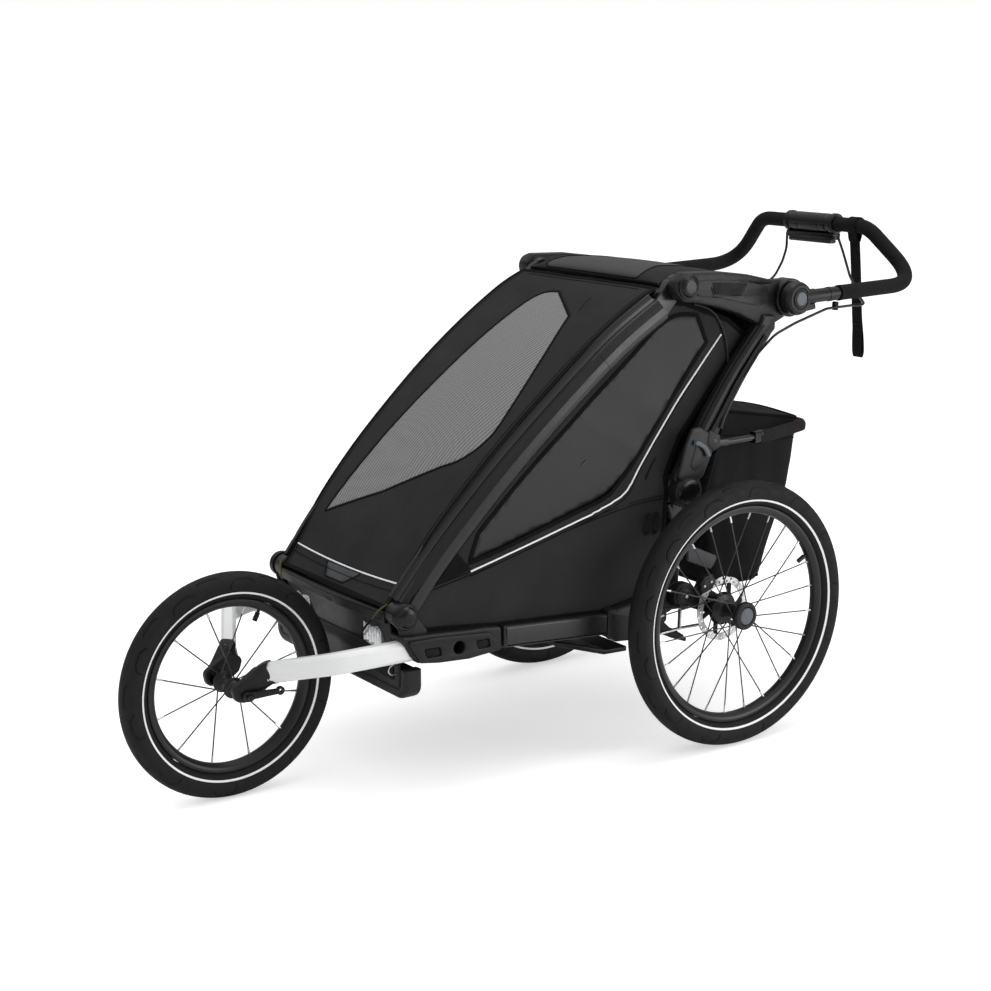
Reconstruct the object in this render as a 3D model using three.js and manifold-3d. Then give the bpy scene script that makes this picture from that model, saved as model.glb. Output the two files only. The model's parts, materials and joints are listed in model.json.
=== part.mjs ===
// A three-wheeled sport stroller with its jogging fork fitted, in millimetres, +Z up.
// It drives towards -Y and its left side is +X. The model is drawn with its zero on the ground,
// under the rear axle, and the exported group moves it so that the origin is the middle of the
// footprint of the whole object.
import * as THREE from 'three';
import { mergeVertices } from 'three/addons/utils/BufferGeometryUtils.js';
import Module from 'manifold-3d';

const wasm = await Module();
wasm.setup();

// ---------------------------------------------------------------- driving dimensions
const GAP = 0.3; // left between pieces that touch
const FACETS = 36; // round a wheel; a multiple of four puts one facet flat on the ground
const WHEELBASE = 881.5;
const REAR = { x: 298.4, y: 0, radius: 247, bead: 203, half: 23.5, spokes: 24 };
const FRONT = { x: 0, y: -WHEELBASE, radius: 197, bead: 152.5, half: 22, spokes: 12 };
const TREAD_FLAT = 14; // width of the band that meets the ground
const ROTOR = { radius: 61, inner: 21.5, thickness: 2, lateral: -41 };
const HUB_CAP = { radius: 26, from: 313.6, to: 325, button: 16, buttonTo: 327 };

const FOLD_LOW = [-660, 331]; // front upright on the chassis corner, as [y, z]
const FOLD_HIGH = [-83, 842]; // front upright on the upper frame
const FOLD_REAR = [-73, 473]; // strut on the upper frame: the open pivot of the linkage
const STRUT_FOOT = [-80, 280]; // strut and suspension arm on the chassis
const HANDLE_HUB = [164, 807];
const CROSS_TUBE = [-150, 256]; // rear cross tube, which the parking brake pedal turns on

const RAIL = { inner: 200, outer: 226, height: 40 };
const STRUT = { inner: 196, outer: 212 };
const SWING_ARM = { inner: 224.6, outer: 246.4 };
const UPRIGHT = { width: 28, depth: 40 };
const BEAM = { inner: 210, outer: 240 };
const REAR_UPRIGHT = { inner: 216, outer: 244 };
const HUB_DISC = { radius: 31, inner: 241.8, outer: 268 };
const JOG_ARM = { width: 26, height: 36 };
const BAR = { tube: 11, grip: 14.3, x: 256, crossbarY: 450, crossbarZ: 918, back: 480, low: 817 };
const BUTTON_TRAVEL = 3;

// ---------------------------------------------------------------- finishes
const finish = (color, roughness, metalness) =>
  new THREE.MeshStandardMaterial({ color, roughness, metalness });
const plastic = finish(0x1d1e20, 0.55, 0);
const darkTube = finish(0x17181a, 0.4, 0.4);
const whitePaint = finish(0xf2f3f4, 0.22, 0.1);
const fabric = finish(0x1a1a1b, 0.95, 0);
const foam = finish(0x151515, 0.9, 0);
const tread = finish(0x202123, 0.85, 0);
const rimBlack = finish(0x141516, 0.35, 0.6);
const steel = finish(0xb9bcc0, 0.3, 1);
const buttonGrey = finish(0x7d868f, 0.45, 0);

// ---------------------------------------------------------------- making and joining solids
// Welds a geometry's corners, drops triangles that have collapsed, and turns its faces outward.
function welded(geometry) {
  geometry.deleteAttribute('normal');
  geometry.deleteAttribute('uv');
  const merged = mergeVertices(geometry, 1e-3);
  const at = merged.attributes.position;
  const [a, b, c] = [new THREE.Vector3(), new THREE.Vector3(), new THREE.Vector3()];
  const kept = [];
  let volume = 0;
  for (let i = 0; i < merged.index.count; i += 3) {
    const [p, q, r] = [0, 1, 2].map((k) => merged.index.getX(i + k));
    if (p === q || q === r || r === p) continue;
    kept.push([p, q, r]);
    volume += a.fromBufferAttribute(at, p)
      .dot(b.fromBufferAttribute(at, q).cross(c.fromBufferAttribute(at, r)));
  }
  merged.setIndex(kept.flatMap(([p, q, r]) => (volume > 0 ? [p, q, r] : [p, r, q])));
  return merged;
}

function toSolid(geometry) {
  return new wasm.Manifold(new wasm.Mesh({
    numProp: 3,
    vertProperties: new Float32Array(geometry.attributes.position.array),
    triVerts: new Uint32Array(geometry.index.array),
  }));
}

function toGeometry(solid) {
  const mesh = solid.getMesh();
  const geometry = new THREE.BufferGeometry();
  geometry.setAttribute('position', new THREE.BufferAttribute(mesh.vertProperties, 3));
  geometry.setIndex(new THREE.BufferAttribute(mesh.triVerts, 1));
  return geometry;
}

const join = (...parts) => toGeometry(parts.map(toSolid).reduce((sum, part) => sum.add(part)));
const cut = (body, ...tools) =>
  toGeometry(tools.map(toSolid).reduce((rest, tool) => rest.subtract(tool), toSolid(body)));

// ---------------------------------------------------------------- shapes
const outline = (points) => new THREE.Shape(points.map(([a, b]) => new THREE.Vector2(a, b)));

// A side outline of [y, z] points given thickness from one x to another, with chamfered rims.
function across(points, from, to, chamfer = 0) {
  const geometry = new THREE.ExtrudeGeometry(outline(points), {
    depth: to - from - 2 * chamfer,
    bevelEnabled: chamfer > 0,
    bevelSegments: 1,
    bevelThickness: chamfer,
    bevelSize: chamfer,
    bevelOffset: -chamfer,
  });
  geometry.translate(0, 0, from + chamfer);
  const [x, y, z] = [[0, 1, 0], [0, 0, 1], [1, 0, 0]].map((v) => new THREE.Vector3(...v));
  return welded(geometry.applyMatrix4(new THREE.Matrix4().makeBasis(x, y, z)));
}

// A round boss or bar lying along X.
function discAcross([y, z], radius, from, to, sides = 20) {
  const geometry = new THREE.CylinderGeometry(radius, radius, to - from, sides);
  geometry.rotateZ(-Math.PI / 2).translate((from + to) / 2, y, z);
  return welded(geometry);
}

// A bar of round section between two points.
function barBetween(from, to, radius, sides = 4) {
  const [a, b] = [new THREE.Vector3(...from), new THREE.Vector3(...to)];
  const along = b.clone().sub(a);
  const geometry = new THREE.CylinderGeometry(radius, radius, along.length(), sides);
  const turn = new THREE.Quaternion().setFromUnitVectors(
    new THREE.Vector3(0, 1, 0), along.clone().normalize());
  geometry.applyQuaternion(turn).translate(...a.add(b).multiplyScalar(0.5).toArray());
  return welded(geometry);
}

// A profile of [radius, distance along X] points turned round a wheel's axle, with facet middles
// at the stated radii, and one facet level at the bottom.
function turned(profile, facets = FACETS) {
  const grow = 1 / Math.cos(Math.PI / facets);
  const points = profile.map(([r, along]) => new THREE.Vector2(r * grow, along));
  const geometry = new THREE.LatheGeometry(points, facets);
  geometry.rotateY(Math.PI / facets).rotateZ(-Math.PI / 2);
  return welded(geometry);
}

// A polyline with rounded corners, for sweeping a section along it with one step for each point.
class Route extends THREE.Curve {
  constructor(corners, bend = 0, steps = 3) {
    super();
    const at = corners.map((p) => new THREE.Vector3(...p));
    this.points = [at[0]];
    for (let i = 1; i < at.length - 1; i++) {
      const back = at[i - 1].clone().sub(at[i]);
      const on = at[i + 1].clone().sub(at[i]);
      const reach = Math.min(
        bend / Math.tan(back.angleTo(on) / 2), 0.48 * back.length(), 0.48 * on.length());
      if (bend === 0) {
        this.points.push(at[i]);
        continue;
      }
      const arc = new THREE.QuadraticBezierCurve3(
        at[i].clone().add(back.setLength(reach)), at[i], at[i].clone().add(on.setLength(reach)));
      this.points.push(...arc.getPoints(steps));
    }
    this.points.push(at[at.length - 1]);
  }

  getPointAt(u) {
    const last = this.points.length - 1;
    const i = Math.min(Math.floor(u * last + 1e-6), last - 1);
    return this.points[i].clone().lerp(this.points[i + 1], u * last - i);
  }

  getTangentAt(u) {
    const last = this.points.length - 1;
    const i = Math.round(u * last);
    const way = (a, b) => this.points[b].clone().sub(this.points[a]).normalize();
    if (i === 0) return way(0, 1);
    if (i === last) return way(last - 1, last);
    return way(i - 1, i).add(way(i, i + 1)).normalize();
  }

  get steps() {
    return this.points.length - 1;
  }
}

const swept = (route, section, steps = route.steps) =>
  welded(new THREE.ExtrudeGeometry(section, { steps, extrudePath: route, bevelEnabled: false }));

function roundSection(radius, sides = 10) {
  return Array.from({ length: sides }, (_, i) => {
    const turn = ((i + 0.5) / sides) * 2 * Math.PI;
    return [radius * Math.cos(turn), radius * Math.sin(turn)];
  });
}

// A box section with its corners cut off.
function boxSection(width, height, corner) {
  const [w, h] = [width / 2, height / 2];
  return outline([
    [-w, corner - h], [corner - w, -h], [w - corner, -h], [w, corner - h],
    [w, h - corner], [w - corner, h], [corner - w, h], [-w, h - corner]]);
}

function roundTube(radius, bore, sides = 10) {
  const shape = outline(roundSection(radius, sides));
  if (bore > 0) shape.holes.push(new THREE.Path(outline(roundSection(bore, sides)).getPoints()));
  return shape;
}

// ---------------------------------------------------------------- collecting the pieces
const stroller = new THREE.Group();

function add(name, geometry, material, parent = stroller) {
  const mesh = new THREE.Mesh(geometry, material);
  mesh.name = name;
  parent.add(mesh);
}

const rightSide = new THREE.Group();
rightSide.scale.x = -1;
stroller.add(rightSide);

// Adds a left piece and its mirror image.
function addPair(name, geometry, material) {
  add(`${name}_left`, geometry, material);
  add(`${name}_right`, geometry.clone(), material, rightSide);
}

// ---------------------------------------------------------------- wheels
function tyreProfile({ radius, bead, half }) {
  const flat = TREAD_FLAT / 2;
  const oneSide = [
    [radius, flat], [radius - 6, 0.72 * half], [radius - 0.42 * (radius - bead), half],
    [bead + 7, 0.8 * half], [bead, 0.5 * half]];
  const otherSide = oneSide.map(([r, along]) => [r, -along]).reverse();
  return [...otherSide, ...oneSide, otherSide[0]];
}

function rimProfile({ bead }) {
  const outer = bead - GAP;
  return [
    [outer, -10], [outer, 10], [bead - 9, 12], [bead - 15, 7],
    [bead - 15, -7], [bead - 9, -12], [outer, -10]];
}

// Straight spokes from alternate flanges, each leaning round the hub, joined to the rim.
function laced({ bead, spokes }, hub, flanges, lean) {
  const rimRadius = bead - 12;
  const bars = Array.from({ length: spokes }, (_, i) => {
    const [flangeRadius, along] = flanges[i % 2];
    const turn = (2 * Math.PI * (i + 0.5)) / spokes;
    const start = turn + (Math.floor(i / 2) % 2 ? lean : -lean);
    return barBetween(
      [along, (flangeRadius - 3) * Math.sin(start), (flangeRadius - 3) * Math.cos(start)],
      [0, rimRadius * Math.sin(turn), rimRadius * Math.cos(turn)], 1.3, 3);
  });
  return join(turned(rimProfile({ bead })), turned(hub, 8), ...bars);
}

const rearHub = [
  [0, -51], [6, -51], [6, -46], [19, -46], [19, -39.5], [27, -39.5], [27, -36],
  [13, -32], [13, 8], [22, 10], [22, 13], [12, 14], [0, 14]];
const frontHub = [
  [0, -45], [5, -45], [5, -33], [11, -33], [11, -22], [17, -21], [17, -18], [9, -15],
  [9, 15], [17, 18], [17, 21], [11, 22], [11, 33], [5, 33], [5, 45], [0, 45]];

const place = (geometry, x, y, z) => geometry.translate(x, y, z);

function addRearWheels() {
  const at = [REAR.x, REAR.y, REAR.radius];
  addPair('rear_tyre', place(turned(tyreProfile(REAR)), ...at), tread);
  const wheel = laced(REAR, rearHub, [[27, -37.5], [22, 11.5]], 0.9);
  addPair('rear_wheel', place(wheel, ...at), rimBlack);
  const half = ROTOR.thickness / 2;
  const rotor = turned([
    [ROTOR.inner, -half], [ROTOR.radius, -half], [ROTOR.radius, half],
    [ROTOR.inner, half], [ROTOR.inner, -half]], 24);
  addPair('brake_rotor', place(rotor, REAR.x + ROTOR.lateral, REAR.y, REAR.radius), steel);
  const hub = [REAR.y, REAR.radius];
  const buttonFrom = HUB_CAP.buttonTo - 5.5;
  const cap = cut(
    discAcross(hub, HUB_CAP.radius, HUB_CAP.from, HUB_CAP.to, 24),
    discAcross(hub, HUB_CAP.button + GAP, buttonFrom - BUTTON_TRAVEL - 1, HUB_CAP.to + 1, 20));
  addPair('hub_cap', cap, plastic);
  addPair('wheel_release_button',
    discAcross(hub, HUB_CAP.button, buttonFrom, HUB_CAP.buttonTo), buttonGrey);
}

function addFrontWheel() {
  const at = [FRONT.x, FRONT.y, FRONT.radius];
  add('front_tyre', place(turned(tyreProfile(FRONT)), ...at), tread);
  add('front_wheel', place(laced(FRONT, frontHub, [[17, -19.5], [17, 19.5]], 0.5), ...at), rimBlack);
  const head = new THREE.CylinderGeometry(8, 8, 14, 12);
  head.rotateX(Math.PI / 2).translate(70, FRONT.y, FRONT.radius);
  const blade = barBetween(
    [71, FRONT.y, FRONT.radius], [88, FRONT.y + 44, FRONT.radius + 4], 5, 6);
  add('quick_release_lever', join(welded(head), blade), plastic);
}

// ---------------------------------------------------------------- jogging fork
const armRoute = new Route([
  [81, -838, 234], [192, -781, 270], [205, -735, 272], [205, -640, 270]], 45);
const armSolid = (extra) =>
  swept(armRoute, boxSection(JOG_ARM.height + extra, JOG_ARM.width + extra, 8));

function addFork() {
  addPair('jog_arm', armSolid(0), whitePaint);
  const axle = [FRONT.y, FRONT.radius];
  const plate = join(
    across([[-896, 183], [-866, 183], [-828, 206], [-834, 252], [-858, 254], [-904, 208]], 45.5, 60, 2),
    across([[-862, 214], [-830, 206], [-822, 250], [-858, 254]], 46, 98, 2));
  addPair('fork_end', cut(plate, armSolid(2 * GAP), discAcross(axle, 5 + GAP, 40, 66)), plastic);
}

// ---------------------------------------------------------------- chassis
const railTop = (y) => 285 - (y + 468) * 0.07;

function addChassis() {
  const rail = [
    [-470, railTop(-470)], [-240, railTop(-240)],
    [-240, railTop(-240) - RAIL.height], [-470, railTop(-470) - RAIL.height]];
  addPair('side_rail', across(rail, RAIL.inner, RAIL.outer, 6), darkTube);

  const housing = across([
    [-677, 300], [-654, 296], [-602, 294], [-542, 289], [-501, 287], [-471, 286],
    [-471, 241], [-542, 239], [-602, 243], [-641, 249], [-653, 262]], 182, 228, 4);
  const ear = across([
    [-690, 322], [-684, 346], [-660, 358], [-636, 350], [-624, 322], [-600, 290], [-674, 290]],
    207.4, 216);
  const knob = discAcross(FOLD_LOW, 22, 215, 222);
  addPair('front_bracket', cut(join(housing, ear, knob), armSolid(2 * GAP)), plastic);

  const heel = across([
    [-239.7, 272], [-190, 281], [-106, 292], [-106, 232], [-190, 210], [-226, 214], [-239.7, 226]],
    198, 230, 4);
  const boss = join(
    across([[-115, 290], [-80, 306], [-80, 254], [-115, 240]], 212.4, 224.2),
    discAcross(STRUT_FOOT, 26, 212.4, 224.2));
  addPair('rear_bracket', join(heel, boss), plastic);

  add('front_beam', across([
    [-662, 313], [-682, 313], [-688, 322], [-676, 333], [-662, 333]], -176, 176), plastic);
  add('rear_cross_tube', discAcross(CROSS_TUBE, 14, -197.7, 197.7, 12), darkTube);
  add('footwell_pan', across([
    [-677, 312.7], [-660, 246], [-600, 236], [-146, 214.8],
    [-146, 222.8], [-600, 244], [-653, 254], [-668, 312.7]], -176, 176), fabric);
  add('skid_plate', across([
    [-322, 221], [-210, 186], [-160, 184], [-160, 172], [-212, 174], [-322, 209]],
    -180, 180), plastic);
  const bumper = outline([
    [-224, 238.7], [-224, 200], [-212, 186], [212, 186], [224, 200], [224, 238.7]]);
  const bumperSolid = new THREE.ExtrudeGeometry(bumper, { depth: 34, bevelEnabled: false });
  bumperSolid.rotateX(Math.PI / 2).translate(0, -634, 0);
  add('bumper_bar', welded(bumperSolid), plastic);
  add('seat_base', across([
    [-500, 330], [-480, 352], [-200, 336], [-168, 346], [-168, 316], [-200, 306], [-480, 318]],
    -160, 160), fabric);
  const side = [
    [-606, 300], [-600, 350], [-556, 400], [-452, 496], [-322, 626], [-222, 706], [-128, 764],
    [-62, 806], [40, 772], [80, 742], [0, 650], [-70, 570], [-104, 500], [-108, 294],
    [-240, 276], [-470, 294]];
  addPair('side_panel', across(side, 200, 206), fabric);
}

// ---------------------------------------------------------------- rear suspension and brakes
function addSuspension() {
  const axle = [REAR.y, REAR.radius];
  const arm = join(
    discAcross(STRUT_FOOT, 21, SWING_ARM.inner, SWING_ARM.outer),
    discAcross(axle, 20, SWING_ARM.inner, SWING_ARM.outer),
    across([[-80, 297], [0, 264], [0, 230], [-80, 263]], SWING_ARM.inner, SWING_ARM.outer, 3));
  addPair('suspension_arm', arm, plastic);
  const collar = join(
    discAcross(CROSS_TUBE, 20, 165, 195, 12),
    across([[-150, 237], [-134, 266], [-62, 202], [-28, 180], [-28, 170], [-66, 184]], 165, 195, 2));
  add('brake_pedal', cut(collar, discAcross(CROSS_TUBE, 15, 160, 200, 12)), buttonGrey);
}

// ---------------------------------------------------------------- folding frame
function addFoldingFrame() {
  const path = new THREE.CatmullRomCurve3([
    [192, -645, 340], [197, -566, 435], [207, -426, 577], [213, -242, 731], [214, -128, 803]]
    .map((p) => new THREE.Vector3(...p)));
  const upright = join(
    swept(path, boxSection(UPRIGHT.width, UPRIGHT.depth, 7), 8),
    discAcross(FOLD_LOW, 20, 179, 207),
    across([[-150, 800], [-96, 857], [-68, 828], [-122, 772]], 192, 209.6),
    discAcross(FOLD_HIGH, 18, 192, 209.6));
  addPair('front_upright', upright, darkTube);

  const cover = across([
    [-676, 336], [-645, 377], [-592, 453], [-523, 530], [-455, 597], [-363, 679], [-272, 751],
    [-181, 812], [-118, 842], [-116, 836], [-179, 805], [-269, 745], [-359, 673], [-450, 592],
    [-518, 526], [-587, 449], [-640, 374], [-671, 336]], -1, 1);
  const at = cover.attributes.position;
  for (let i = 0; i < at.count; i++) {
    at.setX(i, at.getX(i) * THREE.MathUtils.mapLinear(at.getZ(i), 330, 842, 176, 198));
  }
  add('front_cover', cover, fabric);

  const beam = across([
    [-108, 828], [-110, 852], [-90, 868], [-8, 865], [60, 856], [126, 842], [170, 842],
    [196, 822], [196, 790], [170, 772], [112, 749], [86, 764], [40, 784], [-12, 800], [-60, 810],
    [-92, 814]], BEAM.inner, BEAM.outer, 5);
  const drum = discAcross(HANDLE_HUB, 35, BEAM.inner, HUB_DISC.inner - GAP, 24);
  const post = across([
    [94, 770], [22, 684], [-28, 616], [-72, 550], [-102, 500], [-88, 470], [-60, 462],
    [-42, 492], [-10, 545], [20, 600], [68, 680], [124, 748]],
  REAR_UPRIGHT.inner, REAR_UPRIGHT.outer, 4);
  const knuckle = discAcross(FOLD_REAR, 31, REAR_UPRIGHT.inner, REAR_UPRIGHT.outer + 2, 24);
  const knob = discAcross(FOLD_HIGH, 21, BEAM.outer - 2, BEAM.outer + 3);
  addPair('upper_frame', join(beam, drum, post, knuckle, knob), plastic);

  add('upper_cross_tube', discAcross([96, 806], 11, -209.7, 209.7, 10), darkTube);
  add('roof', across([
    [-114, 841], [-104, 858], [-50, 869], [30, 863], [120, 843], [150, 826], [146, 820],
    [116, 836], [28, 855], [-50, 861], [-98, 851], [-108, 841]], -191, 191), fabric);
  add('rear_panel', across([
    [140, 806], [146, 800], [60, 580], [6, 420], [-52, 352], [-58, 356], [-2, 424], [52, 584]],
    -190, 190), fabric);
  add('seat_back', across([
    [-150, 318], [-152, 346], [-118, 352], [40, 700], [68, 690], [-96, 330]], -160, 160), fabric);

  const strut = join(
    discAcross(FOLD_REAR, 30, STRUT.inner, STRUT.outer + 3.7),
    discAcross(STRUT_FOOT, 22, STRUT.inner, STRUT.outer),
    across([[-94, 280], [-88, 473], [-58, 473], [-66, 280]], STRUT.inner, STRUT.outer));
  addPair('strut', strut, darkTube);
  addPair('fold_latch', across([
    [-76, 557], [-72, 568], [-36, 548], [-34, 538], [-44, 530]], 244.4, 253, 1.5), buttonGrey);
}

// ---------------------------------------------------------------- cargo bag
function addCargoBag() {
  const frame = new Route([
    [230, 20, 552], [228, 96, 553], [176, 272, 553], [-176, 272, 553], [-228, 96, 553],
    [-230, 20, 552]], 30);
  add('bag_frame', swept(frame, roundTube(6, 0, 8)), darkTube);
  const bag = across([
    [76, 590], [262, 562], [262, 540], [246, 430], [176, 256], [64, 254], [24, 420]], -166, 166);
  const hollow = across([
    [82, 620], [256, 620], [256, 540], [240, 431], [172, 262], [69, 260], [30, 420]], -160, 160);
  add('cargo_bag', cut(bag, hollow), fabric);
}

// ---------------------------------------------------------------- handlebar
function addHandlebar() {
  const corners = [
    [BAR.x, 206, 809], [BAR.x + 1, BAR.back, BAR.low], [148, BAR.crossbarY, BAR.crossbarZ]];
  const mirrored = corners.map(([x, y, z]) => [-x, y, z]).reverse();
  add('handlebar_tube', swept(new Route([...corners, ...mirrored], 55), roundTube(BAR.tube, 0)),
    darkTube);
  const gripCorners = [[BAR.x, 262, 810.7], ...corners.slice(1)];
  const gripMirrored = gripCorners.map(([x, y, z]) => [-x, y, z]).reverse();
  add('handlebar_grip', swept(new Route([...gripCorners, ...gripMirrored], 55),
    roundTube(BAR.grip, BAR.tube + GAP)), foam);

  const hub = cut(
    join(
      discAcross(HANDLE_HUB, HUB_DISC.radius, HUB_DISC.inner, HUB_DISC.outer, 24),
      barBetween([BAR.x, 176, 808], [BAR.x, 205.7, 809], 14, 12)),
    discAcross(HANDLE_HUB, 13 + GAP, 261, 272));
  addPair('handle_hub', hub, plastic);
  addPair('handle_button', discAcross(HANDLE_HUB, 13, 265, 270), buttonGrey);

  const around = [BAR.crossbarY, BAR.crossbarZ];
  const housing = cut(
    discAcross(around, 21, -68, 68),
    discAcross(around, BAR.grip + GAP, -70, 70));
  add('brake_housing', housing, plastic);
  add('brake_lever', across([
    [438, 882], [442, 888], [456, 888], [460, 882], [456, 878], [442, 878]], -60, 58), plastic);
  add('wrist_strap', across([[447, 903], [453, 903], [476, 655], [470, 655]], 104, 128), fabric);
}

// Each cable leaves the brake housing, crosses to its own arm, passes under the hub and runs
// down the back of its rear upright.
function addBrakeCables() {
  const start = [72, 448, 893];
  const end = [[262, 154, 763], [257, 110, 745], [250, 78, 714], [249, 46, 673]];
  const toLeft = [[92, 442, 868], [150, 405, 826], [222, 362, 792], [258, 338, 784],
    [262, 300, 786], [260, 236, 784]];
  const toRight = [[68, 444, 862], [66, 432, 836], [67, 414, 808], [74, 392, 788],
    [120, 330, 768], [180, 272, 760], [232, 220, 764], [252, 190, 768]];
  const cable = (middle) => swept(new Route([start, ...middle, ...end], 20, 1), roundTube(2.5, 0, 8));
  add('brake_cable_left', cable(toLeft), plastic);
  add('brake_cable_right', cable(toRight), plastic, rightSide);
}

addRearWheels();
addFrontWheel();
addFork();
addChassis();
addSuspension();
addFoldingFrame();
addCargoBag();
addHandlebar();
addBrakeCables();

// The origin is under the middle of the whole object's footprint.
const whole = new THREE.Box3().setFromObject(stroller, true);
stroller.position.y = -whole.getCenter(new THREE.Vector3()).y;

export default stroller;
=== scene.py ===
"""A three-wheeled sport stroller with its jogging fork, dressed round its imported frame.

Shapes are drawn in millimetres with zero on the ground under the rear axle. The stroller drives
towards -Y and its left side is +X. piece() moves them into the frame's metres.
"""

import json
import math

import bmesh
import bpy
import numpy as np
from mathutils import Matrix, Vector, geometry, noise
from mathutils.bvhtree import BVHTree


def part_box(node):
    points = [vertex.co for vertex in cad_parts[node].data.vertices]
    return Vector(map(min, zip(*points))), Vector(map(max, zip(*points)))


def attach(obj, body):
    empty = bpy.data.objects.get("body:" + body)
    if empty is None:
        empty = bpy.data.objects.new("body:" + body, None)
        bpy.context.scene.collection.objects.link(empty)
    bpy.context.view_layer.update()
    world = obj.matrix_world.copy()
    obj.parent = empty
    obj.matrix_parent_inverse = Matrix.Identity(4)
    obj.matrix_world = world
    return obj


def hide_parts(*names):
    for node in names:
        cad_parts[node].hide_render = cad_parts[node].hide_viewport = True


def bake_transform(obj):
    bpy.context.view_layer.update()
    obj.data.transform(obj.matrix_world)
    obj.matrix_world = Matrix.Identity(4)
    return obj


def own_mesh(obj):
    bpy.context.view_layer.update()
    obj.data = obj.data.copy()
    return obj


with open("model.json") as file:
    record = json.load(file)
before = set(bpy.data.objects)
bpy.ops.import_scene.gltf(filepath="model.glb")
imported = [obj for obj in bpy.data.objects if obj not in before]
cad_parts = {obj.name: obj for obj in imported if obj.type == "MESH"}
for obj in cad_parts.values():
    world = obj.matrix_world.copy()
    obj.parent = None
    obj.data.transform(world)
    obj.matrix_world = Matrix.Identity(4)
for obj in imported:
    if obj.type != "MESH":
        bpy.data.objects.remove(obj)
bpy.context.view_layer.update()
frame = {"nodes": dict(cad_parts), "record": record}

# ---------------------------------------------------------------- driving places and sizes
MM = 0.001
_low, _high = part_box("rear_tyre_left")
AXLE_Y = (_low.y + _high.y) / 2

REAR = dict(x=298.4, y=0.0, radius=247.0, bead=203.0, half=23.5, spokes=24, stripe=213.0)
FRONT = dict(x=0.0, y=-881.5, radius=197.0, bead=152.5, half=22.0, spokes=12, stripe=163.8)
FOLD_LOW = (-660, 331)
FOLD_HIGH = (-83, 842)
FOLD_REAR = (-73, 473)
STRUT_FOOT = (-80, 280)
HANDLE_HUB = (164, 807)
CROSS_TUBE = (-150, 256)
CROSSBAR = (450, 918)
WALL_TO_CEILING = (0.32, 1.15)
SIDES = (("left", 1), ("right", -1))
SKEW = (0.31, 0.17, 0.93)  # a direction that no part of the stroller runs along


# ---------------------------------------------------------------- looks
class Nodes:
    """The node tree of one material, with short ways to add the nodes that the looks share."""

    def __init__(self, name):
        self.material = bpy.data.materials.new(name)
        self.material.use_nodes = True
        self.tree = self.material.node_tree
        self.shader = self.tree.nodes["Principled BSDF"]
        self.place = self.add("ShaderNodeTexCoord").outputs["Object"]

    def add(self, kind, **settings):
        node = self.tree.nodes.new(kind)
        for key, value in settings.items():
            if hasattr(node, key):
                setattr(node, key, value)
            else:
                node.inputs[key.replace("_", " ")].default_value = value
        return node

    def join(self, source, target):
        self.tree.links.new(source, target)

    def noise(self, scale, detail=3.0, place=None):
        node = self.add("ShaderNodeTexNoise", Scale=scale, Detail=detail)
        self.join(place or self.place, node.inputs["Vector"])
        return node.outputs["Fac"]

    def wave(self, scale, turn):
        """Straight bands at an angle, for one set of threads."""
        turned_place = self.add("ShaderNodeMapping")
        turned_place.inputs["Rotation"].default_value = turn
        self.join(self.place, turned_place.inputs["Vector"])
        node = self.add("ShaderNodeTexWave", Scale=scale, Distortion=0.0)
        self.join(turned_place.outputs["Vector"], node.inputs["Vector"])
        return node.outputs["Fac"]

    def maths(self, operation, a, b):
        node = self.add("ShaderNodeMath", operation=operation)
        for socket, value in zip(node.inputs, (a, b)):
            if isinstance(value, (int, float)):
                socket.default_value = value
            else:
                self.join(value, socket)
        return node.outputs[0]

    def spread(self, source, low, high, from_low=0.3, from_high=0.7):
        node = self.add("ShaderNodeMapRange")
        values = (from_low, from_high, low, high)
        for socket, value in zip(list(node.inputs)[1:5], values):
            socket.default_value = value
        self.join(source, node.inputs["Value"])
        return node.outputs["Result"]

    def between(self, source, low, high):
        """A colour that runs from low to high with the source."""
        node = self.add("ShaderNodeMix", data_type="RGBA")
        self.join(source, node.inputs["Factor"])
        node.inputs[6].default_value = (*low, 1)
        node.inputs[7].default_value = (*high, 1)
        return node.outputs[2]

    def bump(self, height, distance, strength=1.0, under=None):
        node = self.add("ShaderNodeBump", Distance=distance, Strength=strength)
        self.join(height, node.inputs["Height"])
        if under is not None:
            self.join(under, node.inputs["Normal"])
        self.join(node.outputs["Normal"], self.shader.inputs["Normal"])
        return node.outputs["Normal"]


def tinted(color, share):
    return tuple(min(1.0, c * share) for c in color)


def surface(name, color, rough, metal=0.0, specular=0.5, coat=0.0, mottle=0.12, patch=25.0,
            grain=0.00008, grain_scale=1500.0, wear=0.0):
    """A moulded, painted or metal surface: cloudy colour, uneven gloss, fine grain, worn edges."""
    n = Nodes(name)
    n.shader.inputs["Metallic"].default_value = metal
    n.shader.inputs["Specular IOR Level"].default_value = specular
    n.shader.inputs["Coat Weight"].default_value = coat
    n.shader.inputs["Coat Roughness"].default_value = 0.08
    cloud = n.spread(n.noise(patch), 0.0, 1.0)
    tone = n.between(cloud, tinted(color, 1 - mottle), tinted(color, 1 + mottle))
    if wear:
        edge = n.add("ShaderNodeNewGeometry").outputs["Pointiness"]
        worn = n.maths("MULTIPLY", n.spread(edge, 0.0, wear, 0.56, 0.72), n.noise(120.0))
        mix = n.add("ShaderNodeMix", data_type="RGBA")
        n.join(worn, mix.inputs["Factor"])
        n.join(tone, mix.inputs[6])
        mix.inputs[7].default_value = (*tinted(color, 3.0), 1)
        tone = mix.outputs[2]
    n.join(tone, n.shader.inputs["Base Color"])
    n.join(n.spread(n.noise(60.0, 5.0), rough * 0.88, rough * 1.12), n.shader.inputs["Roughness"])
    n.bump(n.noise(grain_scale, 2.0), grain, 0.5)
    return n.material


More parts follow.
